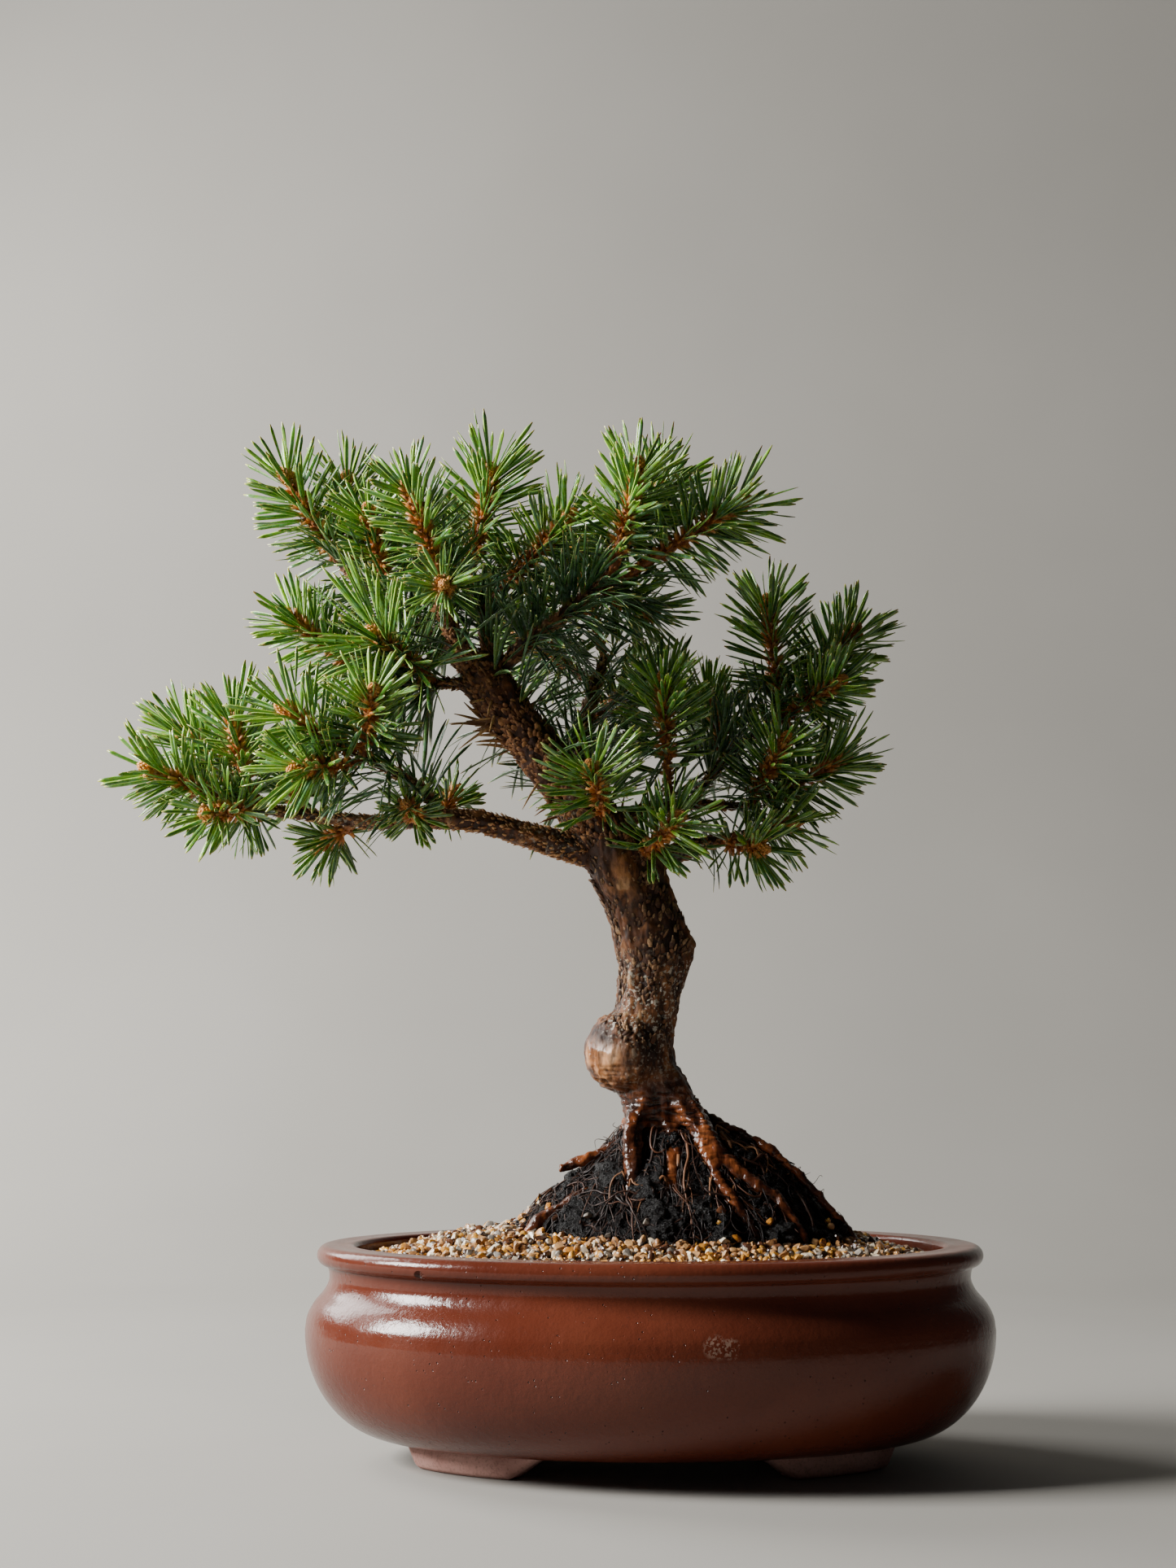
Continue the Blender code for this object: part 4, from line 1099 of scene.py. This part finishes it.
def bud(tubes, centre, axis, size, random):
    """A blunt egg-shaped bud of overlapping scales."""
    u, v = two_across(axis, [0.3, 0.9, 0.2])
    t = np.linspace(0.0, 1.0, 9)
    outline = np.sqrt(np.maximum(1.0 - (2.0 * t - 0.9) ** 2 / 1.21, 0.0))
    spine = centre + axis * (t * size * 2.5)[:, None]
    tubes.add(spine, np.maximum(outline * size * 0.95, 0.05 * MM), 0.7)
    for number in range(BUD_SCALES):
        height = number / BUD_SCALES
        angle = number * GOLDEN_ANGLE
        outward = u * math.cos(angle) + v * math.sin(angle)
        here = float(np.interp(height, t, outline)) * size
        foot = centre + axis * height * size * 2.3 + outward * here * 0.90
        tip = foot + axis * size * 0.55 + outward * size * (0.12 - 0.35 * height)
        middle = (foot + tip) / 2 + outward * size * 0.14
        radii = np.array([0.26, 0.28, 0.10]) * size
        tubes.add(np.array([foot, middle, tip]), radii, 0.78 + 0.22 * random.random())


def shoot_stem(guide, random, u, v, base, heading):
    """Stem, needle sheaths, leaf-base scales and buds of one shoot."""
    tubes = Tubes(6)
    steps = np.linspace(-2.0 * MM, guide.length + 1.0 * MM, STEM_RINGS)
    core = guide.base + guide.axis * steps[:, None]
    tubes.add(core, np.linspace(1.75, 1.5, STEM_RINGS) * MM * random.uniform(0.92, 1.1, STEM_RINGS), 0.25)
    for foot, aim in zip(base, heading):
        sheath = foot - aim * 0.6 * MM + aim * np.array([0.0, 2.0, 3.8])[:, None] * MM
        tubes.add(sheath, np.array([0.85, 0.82, 0.60]) * MM, 0.30 + 0.70 * random.random())
    scales = int(PAIRS_PER_MM * guide.length / MM)
    for index in range(scales):
        turn = index * GOLDEN_ANGLE + 1.0
        out = np.cos(turn) * u + np.sin(turn) * v
        foot = guide.base + guide.axis * (index / scales * guide.length) + out * 1.4 * MM
        tip = foot + guide.axis * random.uniform(0.9, 1.9) * MM + out * random.uniform(0.5, 1.3) * MM
        tubes.add(np.array([foot, (foot + tip) / 2 + out * 0.2 * MM, tip]), np.array([0.6, 0.5, 0.1]) * MM,
                  0.1 + 0.85 * random.random())
    end = guide.base + guide.axis * (guide.length - 0.5 * MM)
    bud(tubes, end, guide.axis, random.uniform(1.6, 2.1) * MM, random)
    for _ in range(random.integers(0, 4)):
        turn = random.uniform(0, 2 * math.pi)
        out = np.cos(turn) * u + np.sin(turn) * v
        bud(tubes, end - guide.axis * 1.0 * MM + out * 1.9 * MM, unit(guide.axis * 0.86 + out * 0.5),
            1.25 * MM, random)
    return tubes


def make_shoot(name, number, finish, bark):
    """One shoot along its CAD solid: a stem, and pairs of needles in sheaths that lean less towards its tip."""
    random = np.random.default_rng(100 + number)
    guide = Guide(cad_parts[name].data)
    leafy = min(guide.length, LEAFY_LENGTH * MM)
    count = int(PAIRS_PER_MM * leafy / MM)
    share = np.sort(random.random(count)) ** 0.85
    angle = np.arange(count) * GOLDEN_ANGLE + random.normal(size=count) * 0.25
    u, v = two_across(guide.axis, [0.21, 0.35, 0.91])
    outward = np.cos(angle)[:, None] * u + np.sin(angle)[:, None] * v
    lean = np.radians(84.0 - 50.0 * share ** 1.6 + random.normal(size=count) * 8.0)
    heading = outward * np.sin(lean)[:, None] + guide.axis * np.cos(lean)[:, None]
    heading = unit(heading + [0.0, 0.0, 0.06])
    base = guide.base + guide.axis * (guide.length - leafy + share * leafy)[:, None] + outward * 1.5 * MM
    length = guide.needle * (0.82 + 0.11 * share) * random.uniform(0.82, 1.08, count)
    tubes = shoot_stem(guide, random, u, v, base, heading)
    add_piece(f"{name}_stem", tubes.mesh(f"{name}_stem"), bark, "twig_bark")

    flat = square_to(heading, random.normal(size=heading.shape))
    spread = np.radians(random.uniform(4.0, 11.0, count))[:, None]
    both_heading = np.vstack([heading * np.cos(spread) + flat * np.sin(spread),
                              heading * np.cos(spread) - flat * np.sin(spread)])
    both_flat = square_to(both_heading, np.vstack([flat, -flat]))
    start = np.vstack([base, base]) + both_heading * 2.4 * MM + both_flat * 0.28 * MM
    both_length = np.concatenate([length, length * random.uniform(0.94, 1.04, count)])
    total = 2 * count
    shade = np.clip(np.tile(0.30 + 0.35 * share, 2) + random.normal(size=total) * 0.16, 0.0, 1.0)
    mesh = needle_mesh(f"{name}_needles", start, both_heading, both_flat, both_length,
                       random.uniform(0.85, 1.1, total) * NEEDLE_WIDTH * MM,
                       random.normal(size=total) * 0.03 - 0.035, random.normal(size=total) * 0.9, shade)
    add_piece(f"{name}_needles", mesh, finish, "needles", name)


def make_shoots():
    """This year's shoots, which share one needle and one stem material."""
    # The last colour is the pale needle edge, partly painted light glowing through the thin edges.
    finish = needle_material("pine_needles", (0.010, 0.042, 0.007), (0.060, 0.20, 0.012), (0.27, 0.50, 0.026),
                             (0.52, 0.80, 0.13))
    bark = shoot_bark_material()
    names = sorted(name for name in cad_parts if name.startswith("shoot_"))
    for number, name in enumerate(names):
        make_shoot(name, number, finish, bark)


OLD_FROM = 236.0             # lowest old needles on the leader, mm
OLD_FOLIAGE = {              # pairs of old needles left on each piece of wood
    "trunk": 70,
    "twig_crown_left": 130, "twig_crown_front": 24, "twig_crown_centre": 100, "twig_crown_right": 120,
    "twig_mid_left": 120, "twig_lower_left": 60, "twig_right": 80, "branch_rear": 110, "branch_mid_right": 40,
}


def make_old_needles():
    """Last year's longer, darker needles, left along the twigs between the shoots."""
    random = np.random.default_rng(77)
    # The last colour is the pale needle edge, partly painted light glowing through the thin edges.
    finish = needle_material("old_needles", (0.012, 0.042, 0.014), (0.040, 0.115, 0.026), (0.10, 0.21, 0.036),
                             (0.16, 0.30, 0.075))
    for name, count in OLD_FOLIAGE.items():
        if name == "trunk":
            axis = np.array([0.35, 0.15, 0.92])      # up, and away from the leader's lean
            points, normals = surface_points([name], random, 4000, above(OLD_FROM))
            chosen = np.flatnonzero((normals[:, 0] > 0.15) | (normals[:, 1] > 0.3))[:count]
        else:
            axis, middle, first, last = growth(name)
            points, normals = surface_points([name], random, count * 3)
            place = ((points - middle) @ axis - first) / (last - first)
            chosen = np.flatnonzero(place > 0.18)[:count]
        points, normals = points[chosen], normals[chosen]
        heading = unit(normals * 0.9 + axis * 0.55 + random.normal(size=points.shape) * 0.25)
        flat = square_to(heading, np.tile([0.0, 0.0, -1.0], (len(points), 1)))
        side = np.cross(heading, flat)
        total = 2 * len(points)
        both = unit(np.vstack([heading + side * 0.09, heading - side * 0.09]))
        facing = square_to(both, np.vstack([flat, flat]))
        length = np.tile(random.uniform(20.0, 33.0, len(points)), 2) * MM
        mesh = needle_mesh(f"{name}_old_needles", np.vstack([points, points]), both, facing, length,
                           random.uniform(0.8, 1.0, total) * OLD_NEEDLE_WIDTH * MM,
                           random.uniform(0.02, 0.30, total),
                           random.normal(size=total) * 0.8, random.random(total))
        add_piece(f"{name}_old_needles", mesh, finish, "needles")


STUBS_FROM = 232.0           # mm
SCATTERED_STUBS = 40
CLUMPED_STUBS = 24
CLUMP_SPAN = (258.0, 274.0)  # heights of the clump on the leader's left, mm


def make_dry_stubs():
    """Dead brown needles and bud scales that cling to the leader."""
    random = np.random.default_rng(12)
    tubes = Tubes(4)
    points, normals = surface_points(["trunk"], random, 900, above(STUBS_FROM))
    for point, normal in zip(points[:SCATTERED_STUBS], normals):
        heading = unit(normal + random.normal(size=3) * 0.45 + np.array([-0.15, 0.0, -0.15]))
        length = random.uniform(3.5, 11.0) * MM
        t = np.linspace(0.0, 1.0, 5)[:, None]
        path = point + heading * length * t + np.array([0.0, 0.0, -1.0]) * length * 0.18 * t ** 2
        tubes.add(path, np.array([0.6, 0.55, 0.45, 0.35, 0.12]) * MM, random.random())
    height = points[:, 2] / MM
    clump = (height > CLUMP_SPAN[0]) & (height < CLUMP_SPAN[1]) & (normals[:, 0] < -0.45)
    for point in points[clump][:CLUMPED_STUBS]:
        heading = np.array([-1.0, 0.0, 0.05]) + random.normal(size=3) * 0.28
        length = random.uniform(6.0, 17.0) * MM
        t = np.linspace(0.0, 1.0, 6)[:, None]
        path = point + heading * length * t + random.normal(size=3) * length * 0.12 * t ** 2
        tubes.add(path, np.array([0.9, 0.8, 0.7, 0.55, 0.4, 0.15]) * MM, random.random())
    finish = scale_material("dry_stubs", (0.10, 0.038, 0.012), (0.34, 0.15, 0.045), (0.62, 0.36, 0.13))
    add_piece("dry_stubs", tubes.mesh("dry_stubs"), finish, "twig_bark")


# --------------------------------------------------------------- hidden parts
def dress_hidden_nodes():
    """Materials for the CAD pieces that stay as they are."""
    soil = plain_material("potting_soil", (0.03, 0.018, 0.011), (0.13, 0.08, 0.05), 0.9, 400.0)
    screen = plain_material("screen_plastic", (0.012, 0.03, 0.018), (0.02, 0.05, 0.03), 0.5, 900.0)
    wire = plain_material("clip_wire", (0.35, 0.34, 0.33), (0.5, 0.49, 0.47), 0.35, 1500.0, 1.0)
    dressing = {"potting_soil": soil, "drainage_screen_left": screen, "drainage_screen_right": screen,
                "screen_clip_left": wire, "screen_clip_right": wire}
    for name, material in dressing.items():
        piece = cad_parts[name]
        piece.data.materials.clear()
        piece.data.materials.append(material)


# ------------------------------------------------------------ stage and camera
CAMERA_BACK = 0.841          # from the pot's middle, m
CAMERA_SIDE = -0.0225
CAMERA_HEIGHT = 0.146
CAMERA_TILT = 6.7            # upwards, degrees
IMAGE_HEIGHT = 1927
FOCAL_PIXELS = 2783.0
FLOOR_FRONT = -0.6           # the sweep's outline, m
WALL_FOOT = 0.55
WALL_BEND = 0.5
WALL_TOP = 2.4
SWEEP_HALF_WIDTH = 1.4


def make_camera():
    data = bpy.data.cameras.new("camera")
    data.sensor_width = 36.0
    data.lens = FOCAL_PIXELS / IMAGE_HEIGHT * data.sensor_width
    data.dof.use_dof = False
    data.clip_start = 0.01
    camera = bpy.data.objects.new("camera", data)
    camera.location = (POT_MIDDLE.x + CAMERA_SIDE, POT_MIDDLE.y - CAMERA_BACK, CAMERA_HEIGHT)
    camera.rotation_euler = (math.radians(90.0 + CAMERA_TILT), 0.0, 0.0)
    bpy.context.scene.collection.objects.link(camera)
    bpy.context.scene.camera = camera


LIGHTS = (                   # name, place, target, size in m, watts, colour
    ("window", (-1.30, -0.27, 0.80), (0.02, 0.0, 0.20), (0.5, 0.55), 72.0, (1.0, 0.985, 0.96)),
    ("back_window", (-1.0, 0.65, 0.85), (0.0, 0.0, 0.22), (0.6, 0.8), 20.0, (1.0, 0.99, 0.97)),
)


def area_light(name, place, target, size, power, colour):
    data = bpy.data.lights.new(name, "AREA")
    data.shape = "RECTANGLE"
    data.size = size[0]
    data.size_y = size[1]
    data.energy = power
    data.color = colour
    light = bpy.data.objects.new(name, data)
    light.location = place
    light.rotation_euler = (Vector(target) - Vector(place)).to_track_quat("-Z", "Y").to_euler()
    bpy.context.scene.collection.objects.link(light)


def make_stage():
    """A pale sweep of floor and wall, a soft window on the left, a weaker one behind it and a dim world."""
    bend = np.radians(np.linspace(-90.0, 0.0, 33))
    corner = np.column_stack([WALL_FOOT + WALL_BEND * np.cos(bend), WALL_BEND + WALL_BEND * np.sin(bend)])
    floor = np.column_stack([np.linspace(FLOOR_FRONT, WALL_FOOT - 0.05, 15), np.zeros(15)])
    wall = np.column_stack([np.full(12, WALL_FOOT + WALL_BEND), np.linspace(WALL_BEND + 0.1, WALL_TOP, 12)])
    curve = np.vstack([floor, corner, wall])
    verts = np.vstack([np.column_stack([np.full(len(curve), side), curve])
                       for side in (-SWEEP_HALF_WIDTH, SWEEP_HALF_WIDTH)])
    row = np.arange(len(curve) - 1)
    quads = np.stack([row, row + len(curve), row + 1 + len(curve), row + 1], axis=1)
    sweep = bpy.data.objects.new("sweep", mesh_of("sweep", verts - [0, 0, 0.0003], quads))
    bpy.context.scene.collection.objects.link(sweep)
    n = Nodes("sweep")
    tone = n.ramp(n.noise(3.0, 3.0), (0.3, (0.305, 0.293, 0.268)), (0.7, (0.335, 0.322, 0.296)))
    sweep.data.materials.append(n.finish(tone, 0.85))
    for light in LIGHTS:
        area_light(*light)
    world = bpy.data.worlds.new("studio")
    world.use_nodes = True
    background = world.node_tree.nodes["Background"]
    background.inputs["Color"].default_value = (0.93, 0.96, 1.0, 1.0)
    background.inputs["Strength"].default_value = 0.035
    bpy.context.scene.world = world


make_camera()
make_stage()
make_pot()
make_ground()
make_grit()
make_wood()
make_scales()
make_fine_roots()
make_dry_stubs()
make_shoots()
make_old_needles()
dress_hidden_nodes()
